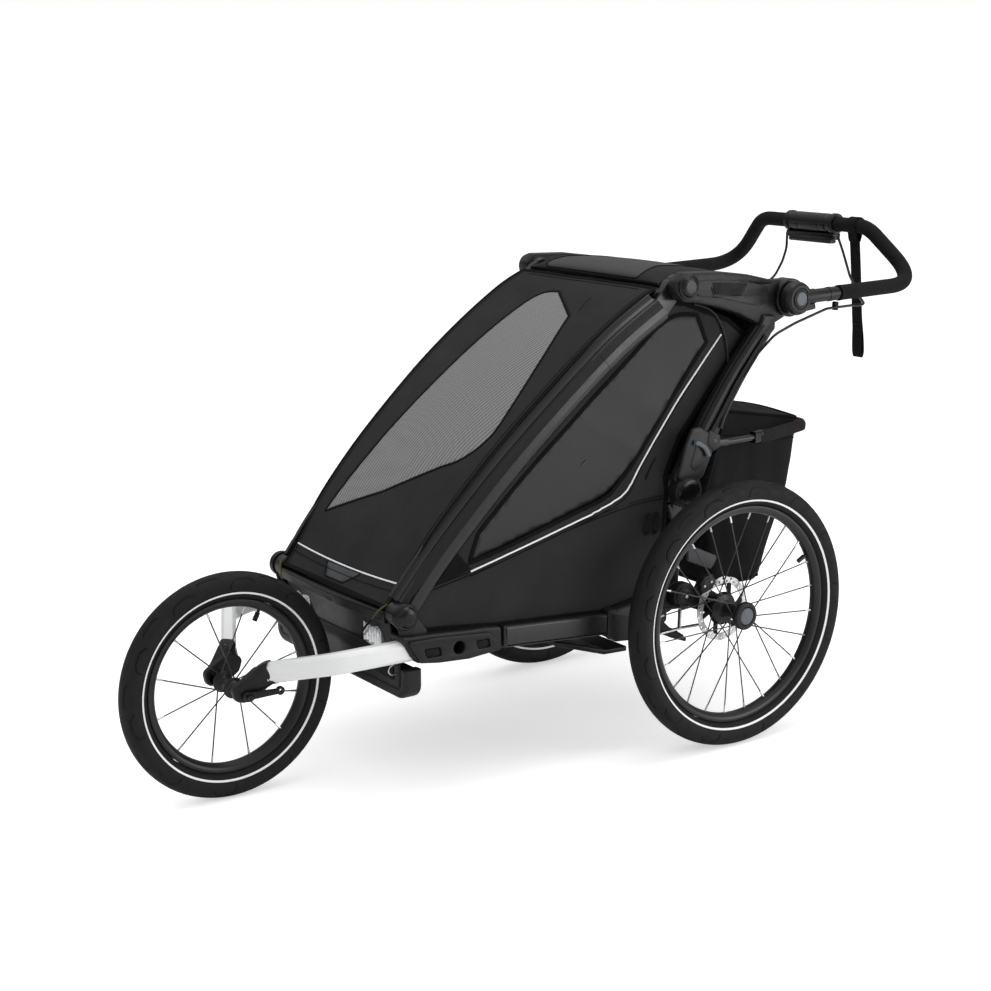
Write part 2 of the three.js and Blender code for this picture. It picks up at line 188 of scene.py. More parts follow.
def cloth(name, color, rough=0.85, sheen=0.02, thread=420.0, weave=0.00012, crumple=0.0006,
          specular=0.1):
    """Woven cloth: two sets of threads in the colour and the relief, over soft crumples."""
    n = Nodes(name)
    n.shader.inputs["Specular IOR Level"].default_value = specular
    n.shader.inputs["Sheen Weight"].default_value = sheen
    n.shader.inputs["Sheen Roughness"].default_value = 0.5
    warp = n.wave(thread, (0.6, 0.5, 0.8))
    weft = n.wave(thread, (-0.6, 0.5, -0.8))
    weave_height = n.maths("MULTIPLY", warp, weft)
    shade = n.maths("ADD", n.maths("MULTIPLY", weave_height, 0.5), n.noise(9.0, 4.0))
    n.join(n.between(n.spread(shade, 0.0, 1.0, 0.3, 1.1), tinted(color, 0.72), tinted(color, 1.25)),
           n.shader.inputs["Base Color"])
    n.join(n.spread(n.noise(30.0), rough - 0.06, rough + 0.06), n.shader.inputs["Roughness"])
    soft = n.bump(n.noise(22.0, 3.0), crumple, 0.6)
    n.bump(weave_height, weave, 0.7, soft)
    return n.material


def netting(name, thread_color, gap_color, pitch):
    """Window netting: pale threads round dark openings on a slanting grid."""
    n = Nodes(name)
    n.shader.inputs["Roughness"].default_value = 0.75
    n.shader.inputs["Specular IOR Level"].default_value = 0.2
    across = n.wave(pitch, (0.0, 0.0, 0.0))
    along = n.wave(pitch, (0.75, 0.0, 1.25))
    opening = n.maths("MULTIPLY", across, along)
    n.join(n.between(n.spread(opening, 0.0, 1.0, 0.15, 0.65), thread_color, gap_color),
           n.shader.inputs["Base Color"])
    n.bump(opening, 0.0003, -0.6)
    return n.material


def film(name, color):
    """Tinted window film: smooth, gently rippled, a little cloudy."""
    n = Nodes(name)
    n.shader.inputs["Specular IOR Level"].default_value = 0.15
    n.shader.inputs["Coat Weight"].default_value = 0.02
    n.shader.inputs["Coat Roughness"].default_value = 0.25
    n.join(n.between(n.spread(n.noise(4.0, 2.0), 0, 1), tinted(color, 0.9), tinted(color, 1.1)),
           n.shader.inputs["Base Color"])
    n.join(n.spread(n.noise(8.0), 0.42, 0.55), n.shader.inputs["Roughness"])
    n.bump(n.noise(7.0, 1.0), 0.004, 0.35)
    return n.material


LOOK = {
    "plastic": surface("satin_plastic", (0.0115, 0.0115, 0.0125), 0.38, specular=0.24,
                       mottle=0.04, grain=0.00005, wear=0.06),
    "smooth_plastic": surface("smooth_plastic", (0.0055, 0.0055, 0.0065), 0.26, specular=0.27,
                              mottle=0.07, wear=0.1),
    "deep_plastic": surface("deep_plastic", (0.004, 0.004, 0.004), 0.5, specular=0.15),
    "tube": surface("powder_coat", (0.010, 0.010, 0.0105), 0.3, specular=0.42, mottle=0.03,
                    grain=0.00003, wear=0.04),
    "white": surface("gloss_white", (0.86, 0.865, 0.87), 0.22, specular=0.4, coat=0.4,
                     mottle=0.015, grain=0.00002),
    "cloth": cloth("black_cloth", (0.027, 0.027, 0.0272)),
    "bag_cloth": cloth("bag_cloth", (0.014, 0.014, 0.0142), sheen=0.02),
    "cloth_dark": cloth("deep_cloth", (0.006, 0.006, 0.0062), sheen=0.01),
    "ribbed": cloth("ribbed_cover_cloth", (0.025, 0.025, 0.0252), sheen=0.02, thread=230.0,
                    weave=0.0003, crumple=0.0004),
    "seam": cloth("seam_thread", (0.006, 0.006, 0.0062), thread=900.0, weave=0.0002),
    "cloth_trim": cloth("edge_binding", (0.0045, 0.0045, 0.0045), sheen=0.01, thread=700.0),
    "webbing": cloth("strap_webbing", (0.010, 0.010, 0.0105), thread=520.0, weave=0.0004),
    "olive": cloth("olive_loop", (0.10, 0.095, 0.03), thread=800.0),
    "red": cloth("red_tab", (0.33, 0.012, 0.02), thread=600.0),
    "grey_label": surface("label_patch", (0.045, 0.05, 0.055), 0.5, grain=0.0002),
    "netting": netting("window_netting", (0.26, 0.26, 0.26), (0.05, 0.05, 0.05), 130.0),
    "roof_netting": netting("roof_netting", (0.075, 0.075, 0.076), (0.022, 0.022, 0.022), 150.0),
    "film": film("tinted_film", (0.036, 0.036, 0.036)),
    "foam": surface("foam_grip", (0.0125, 0.0125, 0.0125), 0.85, specular=0.1, grain=0.0005,
                    grain_scale=900.0),
    "rubber": surface("tyre_rubber", (0.0125, 0.0125, 0.0125), 0.62, specular=0.15, grain=0.0002,
                      grain_scale=700.0),
    "stripe": surface("reflective_stripe", (0.9, 0.9, 0.9), 0.45, mottle=0.02),
    "rim": surface("rim_black", (0.012, 0.012, 0.013), 0.34, specular=0.35, wear=0.2),
    "spoke": surface("spoke_steel", (0.055, 0.055, 0.058), 0.35, metal=0.8),
    "steel": surface("brushed_steel", (0.60, 0.605, 0.61), 0.32, metal=1.0, mottle=0.06,
                     patch=300.0),
    "button": surface("button_grey", (0.105, 0.120, 0.135), 0.45, specular=0.3),
    "wedge": surface("grey_bracket", (0.05, 0.052, 0.056), 0.45, specular=0.3),
    "reflector": surface("reflector", (0.72, 0.73, 0.75), 0.18, metal=0.7, mottle=0.2,
                         patch=160.0, grain=0.0006, grain_scale=260.0),
}


# ---------------------------------------------------------------- shapes: (points, faces)
def joined(*shapes):
    points, faces = [], []
    for more_points, more_faces in shapes:
        faces += [[i + len(points) for i in face] for face in more_faces]
        points += [tuple(p) for p in more_points]
    return points, faces


def mirrored(shape):
    return [(-x, y, z) for x, y, z in shape[0]], [list(reversed(face)) for face in shape[1]]


def unit(v):
    return v / max(np.linalg.norm(v), 1e-12)


def spaced(points, gap=0.05):
    """The points without those that lie on the one before."""
    kept = [np.asarray(points[0], float)]
    for p in points[1:]:
        if np.linalg.norm(np.asarray(p, float) - kept[-1]) > gap:
            kept.append(np.asarray(p, float))
    return kept


def rounded(corners, radius, steps=6, closed=True):
    """A line through the corners, in a plane or in space, with each corner bent round."""
    at = [np.array(p, float) for p in corners]
    out = []
    for i, p in enumerate(at):
        if not closed and i in (0, len(at) - 1):
            out.append(p)
            continue
        back, on = at[i - 1] - p, at[(i + 1) % len(at)] - p
        turn = math.acos(float(np.clip(unit(back) @ unit(on), -1, 1)))
        reach = min(radius / math.tan(max(turn, 0.02) / 2), 0.49 * np.linalg.norm(back),
                    0.49 * np.linalg.norm(on))
        start, end = p + unit(back) * reach, p + unit(on) * reach
        for t in np.linspace(0, 1, steps + 1):
            out.append((1 - t) ** 2 * start + 2 * t * (1 - t) * p + t * t * end)
    out = spaced(out)
    if closed and np.linalg.norm(out[0] - out[-1]) < 0.05:
        out.pop()
    return out


def smooth(points, per=8, closed=False):
    """A smooth curve through the points."""
    at = [np.array(p, float) for p in points]
    count = len(at)
    out = []
    for i in range(count if closed else count - 1):
        near = [at[(i + k) % count] if closed else at[min(max(i + k, 0), count - 1)]
                for k in (-1, 0, 1, 2)]
        for t in np.arange(per) / per:
            out.append(0.5 * (2 * near[1] + (near[2] - near[0]) * t
                              + (2 * near[0] - 5 * near[1] + 4 * near[2] - near[3]) * t * t
                              + (3 * near[1] - near[0] - 3 * near[2] + near[3]) * t ** 3))
    if not closed:
        out.append(at[-1])
    return out


def area(loop):
    return 0.5 * sum(a[0] * b[1] - b[0] * a[1] for a, b in zip(loop, [*loop[1:], loop[0]]))


def inset(loop, distance):
    """The loop moved towards its left by the distance."""
    at = np.array([p[:2] for p in loop], float)
    way = np.roll(at, -1, 0) - at
    way /= np.maximum(np.linalg.norm(way, axis=1), 1e-9)[:, None]
    left = np.stack([-way[:, 1], way[:, 0]], 1)
    before = np.roll(left, 1, 0)
    share = np.maximum(1 + (left * before).sum(1), 0.35)[:, None]
    return at + (left + before) / share * distance


def plate(outline, x0, x1, edge=2.0, holes=(), steps=3):
    """A side outline of (y, z) points made solid from x0 to x1, with its rims rounded over."""
    loops = [np.array(outline if area(outline) > 0 else outline[::-1], float)]
    loops += [np.array(h if area(h) < 0 else h[::-1], float) for h in holes]
    levels = []
    for k in range(steps + 1):
        turn = math.pi / 2 * k / steps
        levels.append((edge * (1 - math.cos(turn)), edge * (1 - math.sin(turn))))
    levels = [(x0 + a, b) for a, b in levels] + [(x1 - a, b) for a, b in reversed(levels)]
    points, faces, starts = [], [], []
    for x, back in levels:
        starts.append(len(points))
        for loop in loops:
            points += [(x, y, z) for y, z in inset(loop, back)]
    per_level = starts[1]
    begin = 0
    for loop in loops:
        n = len(loop)
        for k in range(len(levels) - 1):
            a, b = starts[k] + begin, starts[k + 1] + begin
            faces += [[a + i, a + (i + 1) % n, b + (i + 1) % n, b + i] for i in range(n)]
        begin += n
    flat = [[Vector((y, z, 0)) for y, z in inset(loop, edge)] for loop in loops]
    for tri in geometry.tessellate_polygon(flat):
        faces += [list(tri), [i + starts[-1] for i in reversed(tri)]]
    return points[:per_level * len(levels)], faces


def slab(outline, y0, y1):
    """A front outline of (x, z) points made solid from y0 to y1."""
    n = len(outline)
    return ([(x, y, z) for y in (y0, y1) for x, z in outline],
            [list(range(n)), list(range(n, 2 * n))[::-1],
             *[[i, (i + 1) % n, n + (i + 1) % n, n + i] for i in range(n)]])


def turned(profile, centre, sides=64, closed=False):
    """(radius, x) points turned round the line along X through centre."""
    points = [(centre[0] + x, centre[1] + r * math.sin(a), centre[2] + r * math.cos(a))
              for a in (2 * math.pi * k / sides for k in range(sides)) for r, x in profile]
    n = len(profile)
    faces = []
    for k in range(sides):
        a, b = k * n, (k + 1) % sides * n
        faces += [[a + i, a + (i + 1) % n, b + (i + 1) % n, b + i]
                  for i in range(n if closed else n - 1)]
    return points, faces


def disc(centre, radius, x0, x1, edge=1.5, sides=48, dish=0.0):
    """A round boss along X with rounded rims; dish sinks (or raises) the middle of its far face."""
    at = [(r, x) for r, x in (
        (0, x0), (radius - edge, x0), (radius, x0 + math.copysign(edge, x1 - x0)),
        (radius, x1 - math.copysign(edge, x1 - x0)), (radius - edge, x1),
        (radius * 0.6, x1 + dish * 0.7), (0, x1 + dish))]
    return turned(rounded(at, edge * 0.8, 4, closed=False), (0, *centre), sides)


def circle(radius, sides=16):
    return [(radius * math.cos(a), radius * math.sin(a))
            for a in (2 * math.pi * (k + 0.5) / sides for k in range(sides))]


def box_section(width, height, radius, steps=5):
    w, h = width / 2, height / 2
    return rounded([(-w, -h), (w, -h), (w, h), (-w, h)], radius, steps)


def swept(path, section, up=(0, 0, 1), sizes=None, closed=False, free=False):
    """A section of (a, b) points swept along the path, b towards up; sizes(t) scales a and b.
    A free sweep carries its section along without turning it back towards up."""
    at = [np.array(p, float) for p in path]
    n, count = len(section), len(at)
    points, faces = [], []
    normal = np.array(up, float)
    for i, p in enumerate(at):
        if closed:
            way = unit(at[(i + 1) % count] - at[i - 1])
        else:
            way = unit(at[min(i + 1, count - 1)] - at[max(i - 1, 0)])
        hint = normal if free else np.array(up, float)
        side = unit(np.cross(way, hint))
        normal = np.cross(side, way)
        scale = sizes(i / (count - 1)) if sizes else (1, 1)
        points += [tuple(p + side * a * scale[0] + normal * b * scale[1]) for a, b in section]
    for i in range(count if closed else count - 1):
        a, b = i * n, (i + 1) % count * n
        faces += [[a + j, a + (j + 1) % n, b + (j + 1) % n, b + j] for j in range(n)]
    if not closed:
        faces += [list(range(n))[::-1], [(count - 1) * n + j for j in range(n)]]
    return points, faces


def tube(path, radius, sides=12, closed=False, up=SKEW):
    return swept(path, circle(radius, sides), up, closed=closed, free=True)


def inside(points, loop):
    """Which of the points lie inside the loop."""
    x, y = np.asarray(points, float)[:, :2].T
    found = np.zeros(len(x), bool)
    at = np.array([p[:2] for p in loop], float)
    for a, b in zip(at, np.roll(at, -1, 0)):
        crosses = (a[1] > y) != (b[1] > y)
        rise = (b[1] - a[1]) if abs(b[1] - a[1]) > 1e-12 else 1e-12
        found ^= crosses & (x < (b[0] - a[0]) * (y - a[1]) / rise + a[0])
    return found


def resampled(line, spacing, closed=True):
    """The line with points about this far apart, and its corners kept."""
    at = [np.array(p, float) for p in line]
    out = []
    for a, b in zip(at, [*at[1:], at[0]] if closed else at[1:]):
        pieces = max(1, round(float(np.linalg.norm(b - a)) / spacing))
        out += [a + (b - a) * k / pieces for k in range(pieces)]
    return out if closed else [*out, at[-1]]


def patches(outline, lay, spacing, windows=()):
    """The area in the outline, finely meshed and laid on lay(u, v): the part outside the
    windows first, then each window."""
    loops = [resampled(loop, spacing) for loop in (outline, *windows)]
    edge_points = np.array([p for loop in loops for p in loop])
    edges, base = [], 0
    for loop in loops:
        edges += [(base + i, base + (i + 1) % len(loop)) for i in range(len(loop))]
        base += len(loop)
    low, high = edge_points.min(0), edge_points.max(0)
    rows = np.arange(low[1], high[1], spacing * 0.87)
    grid = np.array([(u + (k % 2) * spacing / 2, v) for k, v in enumerate(rows)
                     for u in np.arange(low[0], high[0], spacing)])
    grid = grid[inside(grid, loops[0])]
    clear = [np.min(np.abs(edge_points - g).sum(1)) > 0.6 * spacing for g in grid]
    flat = [Vector(p) for p in (*edge_points, *grid[np.array(clear)])]
    at, _, triangles, *_ = geometry.delaunay_2d_cdt(flat, edges, [], 0, 1e-4)
    middles = np.array([sum((at[i] for i in t), Vector((0, 0))) / 3 for t in triangles])
    owner = np.where(inside(middles, loops[0]), 0, -1)
    for k, loop in enumerate(loops[1:], 1):
        owner[inside(middles, loop)] = k
    laid = [tuple(lay(p[0], p[1])) for p in at]
    shapes = []
    for k in range(len(loops)):
        chosen = [t for t, o in zip(triangles, owner) if o == k]
        used = sorted({i for t in chosen for i in t})
        place = {old: new for new, old in enumerate(used)}
        shapes.append(([laid[i] for i in used], [[place[i] for i in t] for t in chosen]))
    return shapes


# ---------------------------------------------------------------- making pieces
def piece(name, shape, body, look, slot, stands_for=(), sharp=38, tidy=True):
    points, faces = shape
    mesh = bpy.data.meshes.new(name)
    mesh.from_pydata([(x * MM, y * MM + AXLE_Y, z * MM) for x, y, z in points], [], faces)
    if tidy:
        bm = bmesh.new()
        bm.from_mesh(mesh)
        bmesh.ops.remove_doubles(bm, verts=bm.verts, dist=2e-6)
        bmesh.ops.recalc_face_normals(bm, faces=bm.faces)
        bm.to_mesh(mesh)
        bm.free()
    mesh.materials.append(LOOK[look])
    mesh.shade_smooth()
    mesh.set_sharp_from_angle(angle=math.radians(sharp))
    obj = bpy.data.objects.new(name, mesh)
    bpy.context.scene.collection.objects.link(obj)
    if body:
        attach(obj, body)
    if stands_for:
        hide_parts(*stands_for)
    return obj


def pair(name, shape, body, look, slot, stands_for=(), **more):
    """A left piece and its mirror image. A body or node name may hold {side}."""
    made = []
    for side, sign in SIDES:
        nodes = [n.format(side=side) for n in stands_for]
        made.append(piece(f"{name}_{side}", shape if sign > 0 else mirrored(shape),
                          body.format(side=side), look, slot, nodes, **more))
    return made


def thicken(obj, thickness, offset=-1.0):
    layer = obj.modifiers.new("thickness", "SOLIDIFY")
    layer.thickness, layer.offset = thickness * MM, offset
    return obj


# ---------------------------------------------------------------- wheels
# One side's tread cuts over one pitch: (distance round the tyre, distance over its shoulder
# from the middle of the tread).
TREAD_CUTS = ([(0, 40), (4, 28), (14, 23), (38, 22), (50, 30)],
              [(62, 16), (66, 12), (98, 12), (102, 16)])
TREAD_PITCH = 119
CUT_DEPTH = 1.1


def tyre_profile(wheel):
    """The tyre's section as (radius, x) points from one bead to the other."""
    bead, tall, half = wheel["bead"], wheel["radius"] - wheel["bead"], wheel["half"]
    shares = [(0.005, 0.45), (0.09, 0.64), (0.22, 0.80), (0.38, 0.93), (0.57, 1.0), (0.74, 0.94),
              (0.87, 0.76), (0.95, 0.50), (0.99, 0.25), (1.0, 0.0)]
    one = [(bead + tall * a, half * b) for a, b in shares]
    line = np.array(smooth(one + [(r, -x) for r, x in one[-2::-1]], 5))
    line[:, 0] = np.minimum(line[:, 0], wheel["radius"])
    return line


def over_shoulder(profile):
    """Each profile point's distance along the section from the middle of the tread."""
    steps = np.linalg.norm(np.diff(profile, axis=0), axis=1)
    run = np.concatenate([[0], np.cumsum(steps)])
    return run[-1] / 2 - run


def pitch_of(wheel):
    around = 2 * math.pi * wheel["radius"]
    return around / round(around / TREAD_PITCH)


def tread_shade_lines(wheel):
    """Dark tubes along the floors of the tread cuts: painted shade in the cuts."""
    profile = tyre_profile(wheel)
    w_of = over_shoulder(profile)[::-1]
    count = round(2 * math.pi * wheel["radius"] / TREAD_PITCH)
    shrink = wheel["half"] / REAR["half"]
    lines = []
    for k in range(count):
        for sign, shift in ((1, 0), (-1, 0.5)):
            for line in TREAD_CUTS:
                path = []
                for s, w in resampled(line, 4, closed=False):
                    turn = (s / pitch_of(wheel) + k + shift) / count * 2 * math.pi
                    r, x = (float(np.interp(sign * w * shrink, w_of, profile[::-1, i]))
                            for i in (0, 1))
                    r -= CUT_DEPTH * 0.9
                    x -= sign * CUT_DEPTH * 0.6 * min(1, w / 30)
                    path.append((wheel["x"] + x, wheel["y"] + r * math.sin(turn),
                                 wheel["radius"] + r * math.cos(turn)))
                lines.append(tube(path, 0.9, 6))
    return joined(*lines)


def tyre(wheel):
    """A rubber tyre with open brackets cut over its shoulders and short ones near its middle."""
    bead, radius = wheel["bead"], wheel["radius"]
    tall = radius - bead
    profile = tyre_profile(wheel)
    r, x = profile.T
    across = over_shoulder(profile) / (wheel["half"] / REAR["half"])
    pitch = pitch_of(wheel)
    sides = int(round(2 * math.pi * radius / 1.7))
    turn = 2 * math.pi * np.arange(sides)[:, None] / sides
    along = (turn * radius) % pitch
    depth = np.zeros((sides, len(r)))
    for sign in (1, -1):
        s = along if sign > 0 else (along + pitch / 2) % pitch
        w = (sign * across)[None, :]
        for line in TREAD_CUTS:
            for (s0, w0), (s1, w1) in zip(line, line[1:]):
                long = (s1 - s0) ** 2 + (w1 - w0) ** 2
                t = np.clip(((s - s0) * (s1 - s0) + (w - w0) * (w1 - w0)) / long, 0, 1)
                far = np.hypot(s - s0 - t * (s1 - s0), w - w0 - t * (w1 - w0))
                depth = np.maximum(depth, np.clip(2.2 - far, 0, CUT_DEPTH))
    ring = 0.45 * np.clip(1.2 - np.abs(r - bead - 0.66 * tall), 0, 1)[None, :]
    out = ring - depth
    way = np.stack([-np.gradient(x), np.gradient(r)], 1)
    way /= np.linalg.norm(way, axis=1)[:, None]
    rr = np.minimum(r + out * way[:, 0], radius)
    xx = x + out * way[:, 1]
    cx, cy, cz = wheel["x"], wheel["y"], radius
    points = np.stack([cx + xx, cy + rr * np.sin(turn), cz + rr * np.cos(turn)], 2)
    n = len(r)
    index = np.arange(sides * n).reshape(sides, n)
    a, b = index, np.roll(index, -1, 0)
    c, d = np.roll(b, -1, 1), np.roll(a, -1, 1)
    faces = np.stack([a, d, c, b], 2).reshape(-1, 4).tolist()
    return points.reshape(-1, 3).tolist(), faces


def stripe(wheel, sign):
    """The thin reflective line on one sidewall."""
    bead, tall, half = wheel["bead"], wheel["radius"] - wheel["bead"], wheel["half"]

    def wall(r):
        share = np.interp((r - bead) / tall, [0.005, 0.09, 0.22, 0.38], [0.45, 0.64, 0.80, 0.93])
        return half * float(share)
    r0, r1 = wheel["stripe"] - 1.7, wheel["stripe"] + 1.7
    ring = [(r0, wall(r0) - 0.5), (r0, wall(r0) + 0.45), (r1, wall(r1) + 0.45),
            (r1, wall(r1) - 0.5)]
    return turned([(r, sign * x) for r, x in ring], (wheel["x"], wheel["y"], wheel["radius"]),
                  180, closed=True)


def rim(wheel):
    b = wheel["bead"]
    ring = [(b - 0.4, -10.5), (b - 0.4, 10.5), (b - 2, 12), (b - 6, 12.2), (b - 10, 10.5),
            (b - 14.5, 6.5), (b - 16.5, 0), (b - 14.5, -6.5), (b - 10, -10.5), (b - 6, -12.2),
            (b - 2, -12)]
    return turned(rounded(ring, 2.0, 3), (wheel["x"], wheel["y"], wheel["radius"]), 160,
                  closed=True)


def spokes(wheel, flanges, lean):
    """Spokes and their rim nipples, laced from alternate flanges."""
    cx, cy, cz = wheel["x"], wheel["y"], wheel["radius"]
    wires, nipples = [], []
    for i in range(wheel["spokes"]):
        flange, along = flanges[i % 2]
        turn = 2 * math.pi * (i + 0.5) / wheel["spokes"]
        start = turn + (lean if (i // 2) % 2 else -lean)

        def at(radius, angle, x):
            return (cx + x, cy + radius * math.sin(angle), cz + radius * math.cos(angle))
        hub_end = np.array(at(flange - 2.5, start, along))
        rim_end = np.array(at(wheel["bead"] - 15.5, turn, 0))
        near_rim = rim_end + unit(hub_end - rim_end) * 13
        wires.append(tube([hub_end, near_rim], 1.25, 8))
        wires.append(tube([hub_end + (1.6, 0, 0), hub_end - (1.6, 0, 0)], 2.0, 10, up=(0, 0, 1)))
        nipples.append(tube([near_rim, near_rim + (rim_end - near_rim) * 0.6, rim_end], 1.9, 8))
    return joined(*wires), joined(*nipples)


def valve(wheel, degrees):
    a = math.radians(degrees)
    way = np.array([0, math.sin(a), math.cos(a)])
    centre = np.array([wheel["x"], wheel["y"], wheel["radius"]])
    foot, tip = wheel["bead"] - 15, wheel["bead"] - 36
    at = [centre + way * r for r in np.linspace(foot, tip, 5)]
    return joined(tube(at[:3], 2.8, 12), tube(at[1:], 4.4, 14))


def build_wheels():
    hub = (REAR["x"], REAR["y"], REAR["radius"])
    wires, nipples = spokes(REAR, [[27, -37.5], [22, 11.5]], 0.9)
    body = [(0, -51), (6, -51), (6, -47), (12, -45), (18, -45), (19.5, -43), (19.5, -40),
            (27, -39.5), (27.6, -37.7), (27, -36), (17, -33), (13.5, -28), (12.5, -12), (13.5, 5),
            (21, 9.5), (22.6, 11.5), (21, 13.2), (12, 14.2), (0, 14.2)]
    pair("rear_tyre_rubber", tyre(REAR), "wheel_{side}", "rubber", "tread", ["rear_tyre_{side}"])
    # Painted shade: near-black tubes along the floors of the rear tread cuts.
    pair("rear_tread_shade", tread_shade_lines(REAR), "wheel_{side}", "deep_plastic", "tread")
    pair("rear_tyre_stripe", joined(stripe(REAR, 1), stripe(REAR, -1)), "wheel_{side}", "stripe",
         "tread")
    pair("rear_rim", joined(rim(REAR), turned(rounded(body, 0.8, 3, closed=False), hub, 64)),
         "wheel_{side}", "rim", "rim", ["rear_wheel_{side}"])
    pair("rear_spokes", wires, "wheel_{side}", "spoke", "rim")
    pair("rear_nipples", nipples, "wheel_{side}", "steel", "rotor_steel")
    pair("rear_valve", valve(REAR, 63), "wheel_{side}", "smooth_plastic", "tread")

    def ring_outline(radius, wave, count):
        return [(REAR["y"] + (radius + wave * math.cos(count * a)) * math.cos(a),
                 REAR["radius"] + (radius + wave * math.cos(count * a)) * math.sin(a))
                for a in np.linspace(0, 2 * math.pi, 144, endpoint=False)]

    def hole(radius, angle, size):
        y, z = radius * math.cos(angle), radius * math.sin(angle)
        return [(y + a, z + REAR["radius"] + b) for a, b in circle(size, 10)]
    holes = [hole(51.5 + 5.2 * (k % 2), math.pi * k / 18, 2.1) for k in range(36)]
    rotor_x = REAR["x"] - 41
    rotor = plate(ring_outline(60.2, 0.7, 12), rotor_x - 0.9, rotor_x + 0.9, 0.2,
                  [ring_outline(46.8, 0.0, 1), *holes], steps=1)
    pair("rotor_ring", rotor, "wheel_{side}", "steel", "rotor_steel", ["brake_rotor_{side}"])
    arms = [plate(rounded([
        (math.cos(a - 0.28) * 27, REAR["radius"] + math.sin(a - 0.28) * 27),
        (math.cos(a + 0.10) * 49, REAR["radius"] + math.sin(a + 0.10) * 49),
        (math.cos(a + 0.30) * 49, REAR["radius"] + math.sin(a + 0.30) * 49),
        (math.cos(a + 0.12) * 27, REAR["radius"] + math.sin(a + 0.12) * 27)], 2, 3),
        rotor_x - 1.6, rotor_x + 1.6, 0.5) for a in np.arange(6) * math.pi / 3]
    carrier = plate(ring_outline(31, 0, 1), rotor_x - 1.8, rotor_x + 1.8, 0.6,
                    [ring_outline(21.6, 0, 1)])
    pair("rotor_carrier", joined(carrier, *arms), "wheel_{side}", "deep_plastic", "rotor_steel")
    cap = [(0, 313.8), (23, 313.8), (25.9, 315.5), (25.9, 321.5), (23.5, 324.9), (18.4, 324.9),
           (16.6, 323.6), (16.5, 318.2), (0, 318.2)]
    at_hub = (0, REAR["y"], REAR["radius"])
    pair("hub_cap_shell", turned(rounded(cap, 1.2, 4, closed=False), at_hub, 72),
         "wheel_{side}", "plastic", "plastic", ["hub_cap_{side}"])
    button = [(0, 321.6), (15.2, 321.6), (15.7, 322.2), (15.4, 324.6), (12.0, 326.4), (11, 325.9),
              (6, 326.5), (0, 326.8)]
    pair("release_button_cap", turned(rounded(button, 0.8, 4, closed=False), at_hub, 56),
         "release_{side}", "button", "button_grey", ["wheel_release_button_{side}"])

    centre = (FRONT["x"], FRONT["y"], FRONT["radius"])
    wires, nipples = spokes(FRONT, [[17, -19.5], [17, 19.5]], 0.5)
    body = [(0, -45), (5, -45), (5, -36), (10.5, -34), (11.5, -26), (14, -23), (17.6, -21.5),
            (18.6, -19.6), (17.6, -17.8), (12, -15.5), (9.5, -11), (9.5, 11), (12, 15.5),
            (17.6, 17.8), (18.6, 19.6), (17.6, 21.5), (14, 23), (11.5, 26), (10.5, 34), (5, 36),
            (5, 45), (0, 45)]
    piece("front_tyre_rubber", tyre(FRONT), "wheel_front", "rubber", "tread", ["front_tyre"])
    # Painted shade: near-black tubes along the floors of the front tread cuts.
    piece("front_tread_shade", tread_shade_lines(FRONT), "wheel_front", "deep_plastic", "tread")
    piece("front_tyre_stripe", joined(stripe(FRONT, 1), stripe(FRONT, -1)), "wheel_front",
          "stripe", "tread")
    piece("front_rim", joined(rim(FRONT), turned(rounded(body, 0.8, 3, closed=False), centre, 64)),
          "wheel_front", "rim", "rim", ["front_wheel"])
    piece("front_spokes", wires, "wheel_front", "spoke", "rim")
    piece("front_nipples", nipples, "wheel_front", "steel", "rotor_steel")
    piece("front_valve", valve(FRONT, 27), "wheel_front", "smooth_plastic", "tread")


# ---------------------------------------------------------------- jogging fork
ARM = rounded([(67, -845, 229.5), (190, -782, 266), (205, -735, 271), (205, -640, 270)], 60, 12,
              closed=False)


